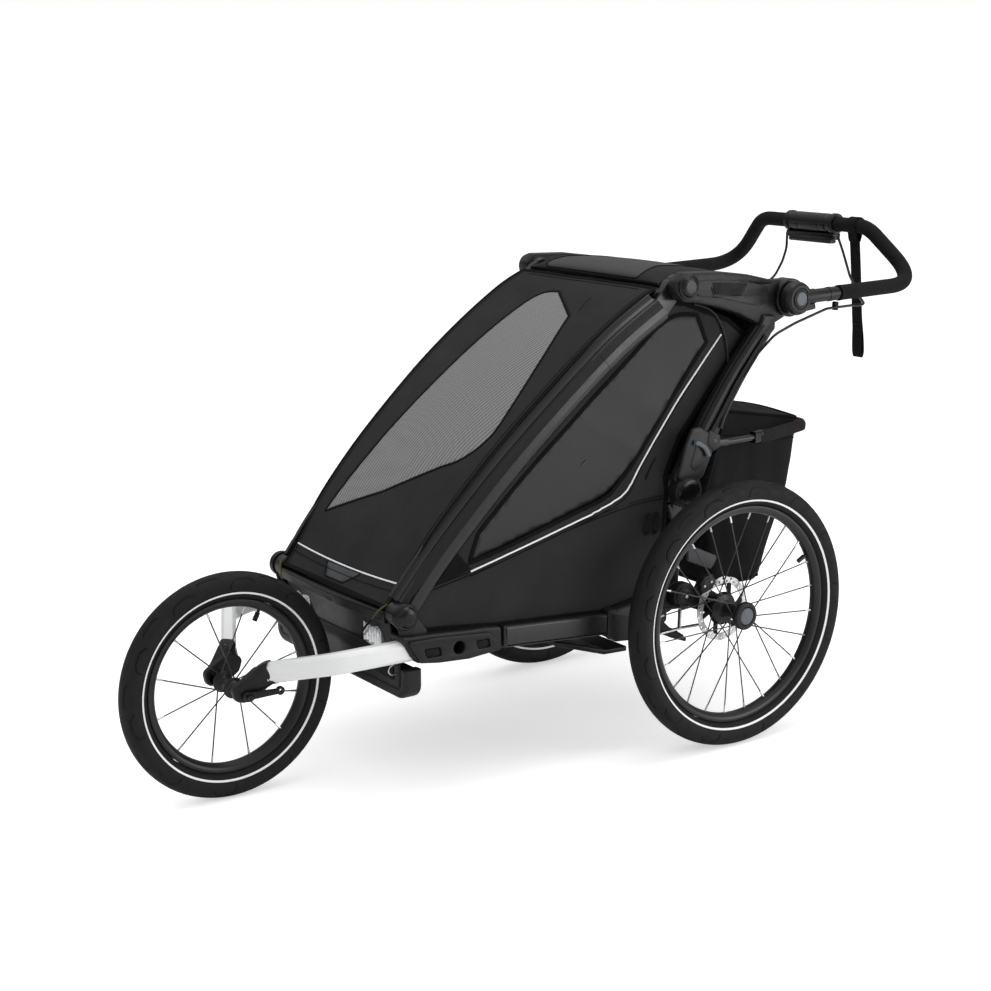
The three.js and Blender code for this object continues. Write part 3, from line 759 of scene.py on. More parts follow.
def build_fork():
    section = rounded([(-13, -11), (-8, -18), (8, -18), (13, -11), (13, 11), (7, 18), (-7, 18),
                       (-13, 11)], 4.5, 4)
    pair("jog_arm_shell", swept(ARM, section), "chassis", "white", "white_paint",
         ["jog_arm_{side}"])
    path = smooth([(75, -841, 232.2), (71, -845.5, 229), (66, -855, 221), (59, -870, 208),
                   (55, -884, 197)], 6)
    tall = 39.5
    section = box_section(29, tall, 9)
    points, faces = swept(path, section, sizes=lambda t: (1 - 0.38 * t ** 2, 1 - 0.3 * t ** 2))
    # Its mouth is cut back in the middle, so the horns above and below hold the arm.
    mouth = []
    for x, y, z in points[:len(section)]:
        share = (abs(z - path[0][2]) / (tall / 2)) ** 2
        mouth.append((x + 9 * share, y + 5 * share, z + 3 * share))
    socket = (mouth + points[len(mouth):], faces)
    axle = (FRONT["y"], FRONT["radius"])
    lug = plate(rounded([(-897, 184), (-868, 180), (-836, 200), (-828, 222), (-852, 240),
                         (-902, 208)], 13, 6), 46, 60, 3)
    boss = disc(axle, 15, 46, 62, 2)
    rim_ring = turned([(9, 60), (13, 60.5), (13.5, 63), (9, 63.5)], (0, *axle), 40, closed=True)
    pair("fork_end_shell", joined(socket, lug, boss, rim_ring), "chassis", "plastic", "plastic",
         ["fork_end_{side}"])
    ribs = [tube([(45.4, y, z), (45.4, y + 16, z - 12)], 1.3, 8)
            for y, z in ((-890, 206), (-880, 214), (-868, 222))]
    pair("fork_end_ribs", joined(*ribs), "chassis", "plastic", "plastic")
    cam = joined(
        plate(rounded([(-889, 190), (-874, 190), (-874, 204), (-889, 204)], 6, 5), 63, 76, 2.5),
        tube([(60, -881.5, 197), (84, -881.5, 197)], 4, 16))
    blade_line = smooth([(74, -881, 197), (80, -868, 199), (86, -852, 201), (90, -836, 202)], 5)
    blade = swept(blade_line, box_section(6.5, 14, 3), sizes=lambda t: (1, 1 - 0.3 * t))
    eye = turned([(3.4, 86), (3.4, 91.5), (7.4, 91.5), (7.4, 86)], (0, -830, 202), 28,
                 closed=True)
    piece("quick_release_blade", joined(cam, blade, eye), "front_release", "smooth_plastic",
          "plastic", ["quick_release_lever"])


# ---------------------------------------------------------------- chassis
def build_chassis():
    rail = [(-468, 284.6), (-240, 268.8), (-240, 229.2), (-468, 245)]
    pair("side_rail_tube", plate(rounded(rail, 3, 3), 200.3, 225.7, 5.5, steps=4), "chassis",
         "tube", "dark_tube", ["side_rail_{side}"])

    body = rounded([(-677, 301), (-654, 297), (-602, 295), (-542, 290), (-501, 288), (-472, 284),
                    (-471, 243), (-540, 239), (-602, 243), (-641, 249), (-655, 262)], 6, 5)
    eye = [(-562 + a, 264 + b) for a, b in circle(11.5, 36)]
    core = plate(body, 182.5, 223, 3.5, [eye])
    face = rounded([(-664, 290), (-604, 289), (-500, 280), (-481, 262), (-492, 244), (-542, 240.5),
                    (-604, 244.5), (-640, 250)], 5, 5)

    def pocket(y0, y1, z):
        return rounded([(y0, z + 9), (y1, z + 7.5), (y1 + 3, z - 8), (y0 + 5, z - 7.5)], 3, 4)
    skin = plate(face, 220, 227.8, 1.8, [eye, pocket(-632, -600, 264), pocket(-528, -501, 262)])
    ear = plate(rounded([(-676, 322), (-673, 338), (-656, 347), (-642, 340), (-631, 320),
                         (-610, 292), (-668, 292)], 9, 6), 207.6, 213, 1.6)
    pair("front_bracket_shell", joined(core, skin, ear), "chassis", "plastic", "plastic",
         ["front_bracket_{side}"])
    # Painted shade: near-black fills at the floors of the eye and the two pockets, darker than the
    # shell round them.
    inner = [turned([(0, 195), (11.2, 195), (11.2, 203), (0, 203)], (0, -562, 264), 32),
             plate(rounded([(-630, 271), (-602, 270), (-599, 258), (-626, 259)], 2, 3),
                   222, 225.2, 0.8),
             plate(rounded([(-526, 268), (-502, 267), (-500, 256), (-523, 257)], 2, 3),
                   222, 225.2, 0.8)]
    pair("bracket_pocket_shade", joined(*inner), "chassis", "deep_plastic", "plastic")
    pin = turned([(0, 202), (3.4, 202), (3.4, 208), (0, 209.5)], (0, -566, 268), 20)
    pair("bracket_pin", pin, "chassis", "steel", "rotor_steel")
    knob = [(0, 206), (22.6, 206), (23.2, 214), (22.4, 218.2), (20.6, 219.6), (18.6, 219.2),
            (18.0, 220.4), (15, 224.2), (8, 226.6), (0, 227.2)]
    pair("front_knob", turned(rounded(knob, 1.0, 4, closed=False), (0, *FOLD_LOW), 72),
         "chassis", "smooth_plastic", "plastic")

    heel = rounded([(-239, 272), (-190, 280), (-108, 291), (-107, 233), (-190, 211), (-225, 214),
                    (-239, 226)], 7, 5)
    boss = plate(rounded([(-118, 290), (-80, 305), (-56, 280), (-80, 255), (-118, 241)], 14, 6),
                 212.6, 224, 3)
    collar = plate(rounded([(-243, 275), (-224, 277), (-224, 222), (-243, 224)], 4, 4),
                   197.5, 229, 3.5)
    pair("rear_bracket_shell", joined(plate(heel, 198.3, 229.7, 5), boss, collar), "chassis",
         "plastic", "plastic", ["rear_bracket_{side}"])

    # The bowed beam across the front, with its rim line and the catch in its middle.
    beam_line = [(x, -672 - 9 * (1 - (x / 176) ** 2), 323) for x in np.linspace(-176, 176, 41)]
    beam = swept(beam_line, rounded([(-10, -10), (6, -10), (7, 6), (3, 9.5), (-10, 9.5)], 3, 4))
    lip = tube([(x, y - 6.5, z + 8.8) for x, y, z in beam_line], 1.3, 8)
    catch = plate(rounded([(-688, 315), (-681, 315), (-681, 322), (-688, 321)], 1.5, 3), -16, 16, 1)
    piece("front_beam_shell", joined(beam, lip, catch), "chassis", "plastic", "plastic",
          ["front_beam"])

    def apron(x, s):
        """The front wall: hollow between the beam and the crease, then full down to its foot."""
        places = [-32, 0, 28, 55, 62, 78, 122, 136, 146]
        z = np.interp(s, places, [344, 313, 286, 263, 257, 246, 203, 193, 190])
        y = np.interp(s, places, [-662, -667, -661, -656, -659, -666, -667, -661, -652])
        bow = 9 * (1 - (x / 204) ** 2) * np.interp(s, [-32, 0, 60, 110], [0, 1, 1, 0])
        return x, y - bow, z
    corner = rounded([(-203, 60), (-203, 146), (203, 146), (203, 60), (178, 56), (178, -32),
                      (-178, -32), (-178, 56)], 8, 5)
    front = patches(corner, apron, 6)
    thicken(piece("footwell_front", front[0], "chassis", "plastic", "plastic", tidy=False), 2, 1)

    def pan(x, s):
        y = -596 + s
        sag = 5 * (1 - (x / 176) ** 2) * math.sin(math.pi * s / 466)
        ripple = 2.2 * noise.noise(Vector((x / 60, s / 80, 3.1)))
        return x, y, 244 - 24.5 * s / 466 - sag * 0.4 + ripple
    shapes = patches([(-174, 0), (174, 0), (174, 448), (-174, 448)], pan, 12)
    floor = thicken(piece("footwell_floor", shapes[0], "chassis", "cloth", "fabric",
                          ["footwell_pan"], tidy=False), 2.2)
    # Painted shade: a near-black cord along the apron's crease and near-black strips where its two
    # recesses are.
    crease = tube([(x, apron(x, 57)[1] - 0.2, 262) for x in np.linspace(-196, 196, 41)], 1.2, 8)
    recess_shade = [plate(rounded([(-668.4, 216), (-667.2, 216), (-667.2, 238), (-668.4, 238)], 0.3, 2),
                    x0, x1, 0.2) for x0, x1 in ((128, 186), (-186, -128))]
    piece("footwell_crease_shade", joined(crease, *recess_shade), "chassis", "deep_plastic", "plastic")
    skid = plate(rounded([(-322, 220), (-210, 185), (-160, 183), (-160, 173), (-212, 175),
                          (-322, 210)], 3, 4), -179, 179, 3)
    piece("skid_plate_shell", skid, "chassis", "plastic", "plastic", ["skid_plate"])

    hoop = rounded([(214, -651, 238.4), (214, -651, 204), (202, -651, 196), (-202, -651, 196),
                    (-214, -651, 204), (-214, -651, 238.4)], 22, 8, closed=False)
    block = rounded([(-203, 236), (-203, 202), (-198, 192), (198, 192), (203, 202), (203, 236)],
                    8, 5)
    filling = slab(block, -660, -636)
    piece("bumper_hoop", joined(swept(hoop, box_section(19.6, 33.6, 7), up=(0, 1, 0)), filling),
          "chassis", "plastic", "plastic", ["bumper_bar"])
    hook = smooth([(196, -664, 246), (196, -673, 247), (196, -681, 242), (196, -683, 235),
                   (196, -677, 229), (196, -664, 228)], 6)
    pair("tie_hook", tube(hook, 1.3, 10), "chassis", "steel", "rotor_steel")

    lamp = rounded([(92, 303), (122, 306), (148, 292), (150, 272), (134, 259), (98, 262)], 6, 4)
    facets = []
    for k in range(6):
        x0 = 96 + 8.6 * k
        facets.append(swept([(x0, -668.5, 265 + 2 * (k % 2)), (x0 + 1, -669.5, 298 - 1.2 * k)],
                            [(-3.6, 0), (0, 2.2), (3.6, 0), (0, -1)], up=(0, -1, 0)))
    pair("reflector_lens", joined(slab(lamp, -668.5, -661), *facets), "chassis", "reflector",
         "plastic")


# ---------------------------------------------------------------- the seat
VOXEL = 0.006  # metres
PRESSURE = 4
CLOTH_FRAMES = 20


def puffed(shape, cap=8.0):
    """The shape blown up by a cloth simulation, with no point moved further than the cap."""
    scene = bpy.context.scene
    mesh = bpy.data.meshes.new("unpuffed")
    mesh.from_pydata([[c * MM for c in p] for p in shape[0]], [], shape[1])
    closed = bmesh.new()
    closed.from_mesh(mesh)
    bmesh.ops.remove_doubles(closed, verts=closed.verts, dist=1e-5)
    bmesh.ops.recalc_face_normals(closed, faces=closed.faces)
    closed.to_mesh(mesh)
    closed.free()
    obj = bpy.data.objects.new("unpuffed", mesh)
    scene.collection.objects.link(obj)
    voxels = obj.modifiers.new("voxels", "REMESH")
    voxels.mode, voxels.voxel_size = "VOXEL", VOXEL

    def evaluated():
        return bpy.data.meshes.new_from_object(
            obj.evaluated_get(bpy.context.evaluated_depsgraph_get()))
    still = evaluated()
    obj.modifiers.clear()
    obj.data = still
    cloth_settings = obj.modifiers.new("cloth", "CLOTH").settings
    cloth_settings.use_pressure = True
    cloth_settings.uniform_pressure_force = PRESSURE
    cloth_settings.effector_weights.gravity = 0
    for number in range(1, CLOTH_FRAMES + 1):
        scene.frame_set(number)
    full = evaluated()
    scene.frame_set(1)
    before = np.array([v.co for v in still.vertices]) / MM
    move = np.array([v.co for v in full.vertices]) / MM - before
    length = np.linalg.norm(move, axis=1)[:, None]
    points = before + move * np.minimum(1, cap / np.maximum(length, 1e-9))
    faces = [list(polygon.vertices) for polygon in full.polygons]
    bpy.data.objects.remove(obj)
    return points.tolist(), faces


def build_seat():
    """The dark seat inside the cabin: two crowned pads with sewn channels."""
    def pad(start, end, thickness, half):
        """A crowned pad between two (y, z) points, with its sides pulled in."""
        (y0, z0), (y1, z1) = start, end
        way = unit(np.array([y1 - y0, z1 - z0]))
        up = np.array([-way[1], way[0]])
        rows, cols = 26, 22
        points = []
        for side in (1, -1):
            for i in range(rows):
                for j in range(cols):
                    u, v = i / (rows - 1), 2 * j / (cols - 1) - 1
                    crown = (1 - abs(v) ** 6) * (1 - abs(2 * u - 1) ** 8)
                    tall = side * thickness / 2 * crown ** 0.5
                    pull = 1 - 0.03 * math.sin(math.pi * u)
                    points.append((half * v * pull, y0 + (y1 - y0) * u + up[0] * tall,
                                   z0 + (z1 - z0) * u + up[1] * tall))
        faces = []
        for side in (0, 1):
            base = side * rows * cols
            for i in range(rows - 1):
                for j in range(cols - 1):
                    a = base + i * cols + j
                    quad = [a, a + 1, a + cols + 1, a + cols]
                    faces.append(quad if side == 0 else quad[::-1])
        return points, faces

    def sewn(shape, start, end, half):
        """Three channels pressed into the pad's face, and the thread along them."""
        points, faces = shape
        (y0, z0), (y1, z1) = start, end
        way = unit(np.array([y1 - y0, z1 - z0]))
        up = np.array([-way[1], way[0]])
        pressed = []
        for x, y, z in points:
            face = (y - y0) * up[0] + (z - z0) * up[1] > 0
            near = sum(math.exp(-((x - line * half) / 6) ** 2) for line in (-0.55, 0, 0.55))
            depth = 3.0 * near * face
            pressed.append((x, y - up[0] * depth, z - up[1] * depth))
        found = BVHTree.FromPolygons(pressed, faces)
        down = Vector((0, -up[0], -up[1]))
        threads = []
        for line in (-0.55, 0, 0.55):
            path = []
            for u in np.linspace(0.08, 0.92, 24):
                above = Vector((line * half, y0 + (y1 - y0) * u, z0 + (z1 - z0) * u)) - down * 60
                hit = found.ray_cast(above, down)[0]
                if hit:
                    path.append(tuple(hit))
            threads.append(tube(path, 0.9, 6))
        return (pressed, faces), joined(*threads)

    for name, node, body, start, end in (
            ("seat_pad_base", "seat_base", "chassis", (-490, 332), (-176, 328)),
            ("seat_pad_back", "seat_back", "top_frame", (-118, 346), (50, 680))):
        half, thickness = 150, 20
        shape, threads = sewn(puffed(pad(start, end, thickness, half)), start, end, half)
        cushion = piece(name, shape, body, "cloth_dark", "fabric", [node])
        smoother = cushion.modifiers.new("smoother", "SUBSURF")
        smoother.levels = smoother.render_levels = 1
        piece(f"{name}_seams", threads, body, "seam", "fabric")


# ---------------------------------------------------------------- front frame and its cover
GROOVE_Z = [336, 396, 455, 530, 597, 679, 842]
GROOVE_X = [179, 185, 190, 196, 199, 203, 203]
COVER_SIDE = smooth([(-676, 336), (-645, 377), (-592, 453), (-523, 530), (-455, 597), (-363, 679),
                     (-272, 751), (-181, 812), (-118, 842)], 8)


class Sheet:
    """A cloth over a side line of (y, z) points: x runs across it and s runs along the line."""

    def __init__(self, side_line, half, crown, slack=1.2):
        self.line = np.array(side_line, float)
        steps = np.linalg.norm(np.diff(self.line, axis=0), axis=1)
        self.s = np.concatenate([[0], np.cumsum(steps)])
        self.length = float(self.s[-1])
        self.half, self.crown, self.slack = half, crown, slack

    def at(self, x, s, rise=0.0):
        y, z = (float(np.interp(s, self.s, self.line[:, k])) for k in (0, 1))
        near = [np.interp(s + d, self.s, self.line[:, k]) for k in (0, 1) for d in (-6, 6)]
        way = unit(np.array([near[1] - near[0], near[3] - near[2]]))
        half = self.half(y, z)
        share = min(abs(x) / half, 1.0)
        out = self.crown * (1 - share ** 2) * math.sin(math.pi * min(max(s / self.length, 0), 1))
        out += self.slack * (1 - share ** 4) * noise.noise(Vector((x / 95, s / 130, self.crown)))
        out += rise
        return x, y - way[1] * out, z + way[0] * out

    def border(self, s0, s1, back=1.0, count=40):
        """The outline of the cloth between two places along the line."""
        up = [(-self.width_at(s) + back, s) for s in np.linspace(s0, s1, count)]
        down = [(self.width_at(s) - back, s) for s in np.linspace(s1, s0, count)]
        return up + down

    def width_at(self, s):
        y, z = (float(np.interp(s, self.s, self.line[:, k])) for k in (0, 1))
        return self.half(y, z)

    def trim(self, line, radius, rise=0.3, sides=8, closed=False):
        """A thin cord or seam laid on the cloth along (x, s) points."""
        return tube([self.at(x, s, rise) for x, s in line], radius, sides, closed)

    def band(self, line, width, thickness, rise=0.4, closed=False):
        return swept([self.at(x, s, rise) for x, s in line], box_section(width, thickness, 0.4, 2),
                     up=(0, -0.66, 0.75), closed=closed)


def build_front_frame():
    path = smooth([(192, -645, 340), (197, -566, 435), (207, -426, 577), (213, -242, 731),
                   (214, -128, 803)], 12)
    section = rounded([(-13, -18), (10, -20), (15, -14), (16.6, -6), (15.4, 6), (12, 14),
                       (8.6, 20.6), (5.5, 21.2), (0, 20.6), (-5, 23.2), (-8.4, 27.4),
                       (-9.6, 30.4), (-12, 31.2), (-16, 31.2), (-16, 24), (-13, 16)], 2.2, 5)
    up = (0, -0.65, 0.76)
    bar = swept(path, section, up)
    sleeve_section = [(a * 1.04, b * 1.02) for a, b in section]
    low_sleeve = swept(path[:5], sleeve_section, up)
    high_sleeve = swept(path[-14:], sleeve_section, up)
    low_disc = disc(FOLD_LOW, 20, 179.5, 206.5, 2)
    cap = plate(rounded([(-150, 801), (-97, 857), (-68, 830), (-121, 772)], 12, 6), 192.3, 209.4, 2)
    high_disc = disc(FOLD_HIGH, 18, 192.5, 209.4, 2)
    pair("front_upright_bar", joined(bar, low_sleeve, high_sleeve, low_disc, cap, high_disc),
         "front_frame", "tube", "dark_tube", ["front_upright_{side}"])
    glint = tube([np.array(p) + (8.2, -0.65 * 20.9, 0.76 * 20.9) for p in path[5:-14]], 0.6, 8)
    pair("upright_ridge", glint, "front_frame", "deep_plastic", "dark_tube")

    cover = Sheet(COVER_SIDE, lambda y, z: float(np.interp(z, GROOVE_Z, GROOVE_X)), 7)
    window = [(-140, 122), (-122, 262), (-100, 440), (-82, 575), (-70, 650), (-58, 680), (-40, 693),
              (-14, 697), (84, 638), (118, 549), (144, 457), (160, 380), (161, 345), (150, 312),
              (128, 284), (95, 263), (-8, 190)]
    window = [window[0], *smooth(window[:8], 5)[1:], *smooth(window[8:], 5)]
    patch = rounded([(-54, 41), (60, 42), (22, 14), (-38, 14)], 3, 3)
    cloth_part, net_part, patch_part = patches(cover.border(2, 756), cover.at, 9, (window, patch))
    shell = thicken(piece("front_cover_cloth", cloth_part, "front_frame", "ribbed", "fabric",
                          ["front_cover"], tidy=False), 1.6)
    net = thicken(piece("cover_netting", net_part, "front_frame", "netting", "fabric",
                        tidy=False), 1.0)
    label = thicken(piece("cover_patch", patch_part, "front_frame", "grey_label", "fabric",
                          tidy=False), 1.8, -0.6)
    edge = resampled(window, 9)
    binding = cover.band(edge, 4.5, 1.2, closed=True)
    hems = [cover.band([(sign * (cover.width_at(s) - 4), s) for s in np.linspace(6, 752, 60)], 6, 2)
            for sign in (1, -1)]
    hems += [cover.band([(x, s) for x in np.linspace(-1, 1, 30) * (cover.width_at(s) - 6)], 7, 2)
             for s in (5, 752)]
    piece("cover_binding", joined(binding, *hems), "front_frame", "cloth_trim", "fabric")
    across = np.linspace(-1, 1, 50)
    pipe = [(170 * t, 49 - 6 * (1 - t * t)) for t in across]
    piece("cover_piping", cover.trim(pipe, 1.5, 0.9), "front_frame", "stripe", "fabric")
    seams = [cover.trim([(t * 165, 742) for t in across], 0.6, 0.5),
             cover.trim([(t * 172, 34 - 6 * (1 - t * t)) for t in across], 0.8, 0.3),
             cover.trim([(93, 656), (89, 670), (84, 696)], 0.7, 0.2),
             *[cover.trim([(sign * (cover.width_at(s) - 13), s) for s in np.linspace(10, 750, 60)],
                          0.7, 0.2) for sign in (1, -1)],
             cover.trim(patch, 0.7, 0.8, closed=True)]
    piece("cover_seams", joined(*seams), "front_frame", "seam", "fabric")

    # Elastic ties from the cover's lower corners to the apron.
    ties, loops = [], []
    for sign in (1, -1):
        middle = np.array((sign * 156, -690, 318))
        tie = smooth([middle, (sign * 128, -688, 296), (sign * 96, -680, 268)], 8)
        ties.append(tube(tie, 2, 8))
        for out in (2.2, -2.2):
            cord = smooth([(sign * 182, -676, 348), (sign * 170, -688 + out, 334 + out), middle], 8)
            loops.append(tube(cord, 1.1, 8))
    piece("cover_ties", joined(*ties), "front_frame", "webbing", "fabric")
    piece("cover_tie_loops", joined(*loops), "front_frame", "olive", "fabric")


# ---------------------------------------------------------------- side panels
WINDOW_LOW = [(-530, 402), (-468, 417), (-385, 439), (-299, 463), (-244, 479), (-215, 497),
              (-173, 535), (-122, 598), (-77, 655), (-32, 710), (-9, 735)]
WINDOW_HIGH = [(-16, 748), (-22, 762), (-34, 786), (-58, 789), (-81, 789), (-104, 782),
               (-137, 763), (-171, 734), (-258, 666), (-343, 597), (-427, 527), (-509, 451)]
PIPING = [(-528, 388), (-468, 404), (-384, 425), (-298, 448), (-254, 462), (-210, 478), (-183, 498),
          (-155, 533), (-121, 578), (-76, 636), (-31, 687), (24, 747)]
PANEL_EDGE = [(-655, 330), (-652, 304), (-602, 298), (-542, 292), (-468, 284), (-250, 269),
              (-112, 288), (-106, 400), (-104, 500), (-70, 570), (0, 650), (80, 742), (40, 772),
              (-62, 808), (-112, 814), (-150, 793), (-240, 729), (-308, 664), (-355, 634),
              (-416, 570), (-478, 509), (-564, 436), (-605, 391), (-640, 356)]
SEAM = [(-600, 372), (-525, 388), (-443, 407), (-358, 429), (-271, 449), (-181, 464), (-112, 466)]


def on_side(y, z, rise=0.0):
    """The left wall of the cabin: flat above, and full of cloth round the seam below."""
    seam_z = float(np.interp(y, [p[0] for p in SEAM], [p[1] for p in SEAM]))
    below = seam_z - z
    full = math.exp(-(below / (75 if below > 0 else 34)) ** 2)
    full *= np.interp(y, [-600, -480, -200, -108], [0, 0.7, 1, 0.75])
    x = 207 + 9.5 * full + 1.5 * noise.noise(Vector((y / 110, z / 90, 5.5)))
    inside_pleats = np.interp(y, [-330, -270, -150, -118], [0, 1, 1, 0])
    inside_pleats *= np.interp(seam_z - z, [-46, -12, 2, 14], [0, 1, 1, 0])
    slant = (y + 0.35 * (z - 440)) / 15.5
    x += 3.6 * inside_pleats * abs(math.sin(math.pi * slant)) ** 0.6
    return x + rise, y, z


def on_window(y, z):
    """Window film pulled tight, with two soft creases running to its upper corner."""
    crease = sum(math.exp(-((y * 0.52 + z - c) / w) ** 2) for c, w in ((470, 16), (560, 24)))
    return 206.6 + 1.0 * crease + 1.2 * noise.noise(Vector((y / 160, z / 120, 8.8))), y, z


def build_side_panels():
    window = [*smooth(WINDOW_LOW, 4), *WINDOW_HIGH[:3], *smooth(WINDOW_HIGH[3:], 4)]
    cloth_part = patches(resampled(PANEL_EDGE, 9), on_side, 8, (window,))[0]
    film_part = patches(window, on_window, 11)[0]
    band = [on_side(y, z, 0.7) for y, z in resampled(window, 8)]
    edge_band = swept(band, box_section(7.5, 1.2, 0.4, 2), up=(1, 0, 0), closed=True)
    rim_line = [on_side(y, z, 0.2) for y, z in resampled(PANEL_EDGE, 9)]
    hem = swept(rim_line, box_section(9, 2.2, 0.8, 2), up=(1, 0, 0), closed=True)
    pipe = tube([on_side(y, z, 1.5) for y, z in smooth(PIPING, 5)], 1.55, 10)
    arch = tube([on_side(y, z, 3.0) for y, z in smooth([
        (-44, 806), (-24, 801), (-2, 791), (17, 772), (34, 736), (41, 694)], 6)], 2.2, 10)
    seams = [tube([on_side(y, z + lift, 0.5) for y, z in smooth(SEAM, 6)], 0.9, 8)
             for lift in (0, -5.5)]
    seams.append(tube([on_side(y, z - 9, 0.4) for y, z in smooth(PIPING[:-1], 5)], 0.7, 8))
    flap_loop = resampled([(-600, 372), (-556, 427), (-528, 392)], 6)
    flap = patches(flap_loop, lambda y, z: on_side(y, z, 1.6), 7)[0]
    slit = tube([on_side(y, z, 1.0) for y, z in ((-150, 500), (-136, 520), (-124, 536))], 1.4, 8)
    loops = []
    for y in (-146, -126):
        line = smooth([on_side(y, 436, 1), on_side(y + 1, 429, 8), on_side(y, 405, 8),
                       on_side(y, 397, 1)], 5)
        loops.append(swept(line, box_section(9, 1.6, 0.6, 3), up=(0.9, 0.1, 0.2)))
    tag = swept([on_side(-290, 543, 1.2), on_side(-279, 549, 1.2)], box_section(2.4, 0.8, 0.2, 2),
                up=(1, 0, 0))

    looks = (("side_cloth", cloth_part, "cloth", ["side_panel_{side}"], 1.4),
             ("side_window", film_part, "film", [], 0.8),
             ("side_edging", joined(edge_band, hem), "cloth_trim", [], 0),
             ("side_piping", pipe, "stripe", [], 0),
             ("side_arch", arch, "plastic", [], 0),
             ("side_seams", joined(*seams), "seam", [], 0),
             ("side_flap", flap, "cloth_dark", [], 1.2),
             ("side_loops", joined(*loops, slit), "webbing", [], 0),
             ("side_tag", tag, "wedge", [], 0))
    for name, shape, look, nodes, thickness in looks:
        for obj in pair(name, shape, "chassis", look, "fabric", nodes,
                        tidy=name not in ("side_cloth", "side_window", "side_flap")):
            if thickness:
                sign = 1 if obj.name.endswith("left") else -1
                thicken(obj, thickness, -1.0 * sign if name != "side_flap" else 0.0)
            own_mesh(obj)


# ---------------------------------------------------------------- upper frame
def domed_knob(centre, radius, x0, x1):
    """A round cap whose face has a sunk ring round a raised middle."""
    tall = x1 - x0
    profile = [(0, x0), (radius, x0), (radius, x1 - 0.35 * tall), (radius * 0.93, x1 - 0.1 * tall),
               (radius * 0.8, x1 - 0.1 * tall), (radius * 0.76, x1 - 0.22 * tall),
               (radius * 0.70, x1 - 0.22 * tall), (radius * 0.64, x1 - 0.06 * tall),
               (radius * 0.35, x1), (0, x1)]
    return turned(rounded(profile, 0.9, 4, closed=False), (0, *centre), 72)


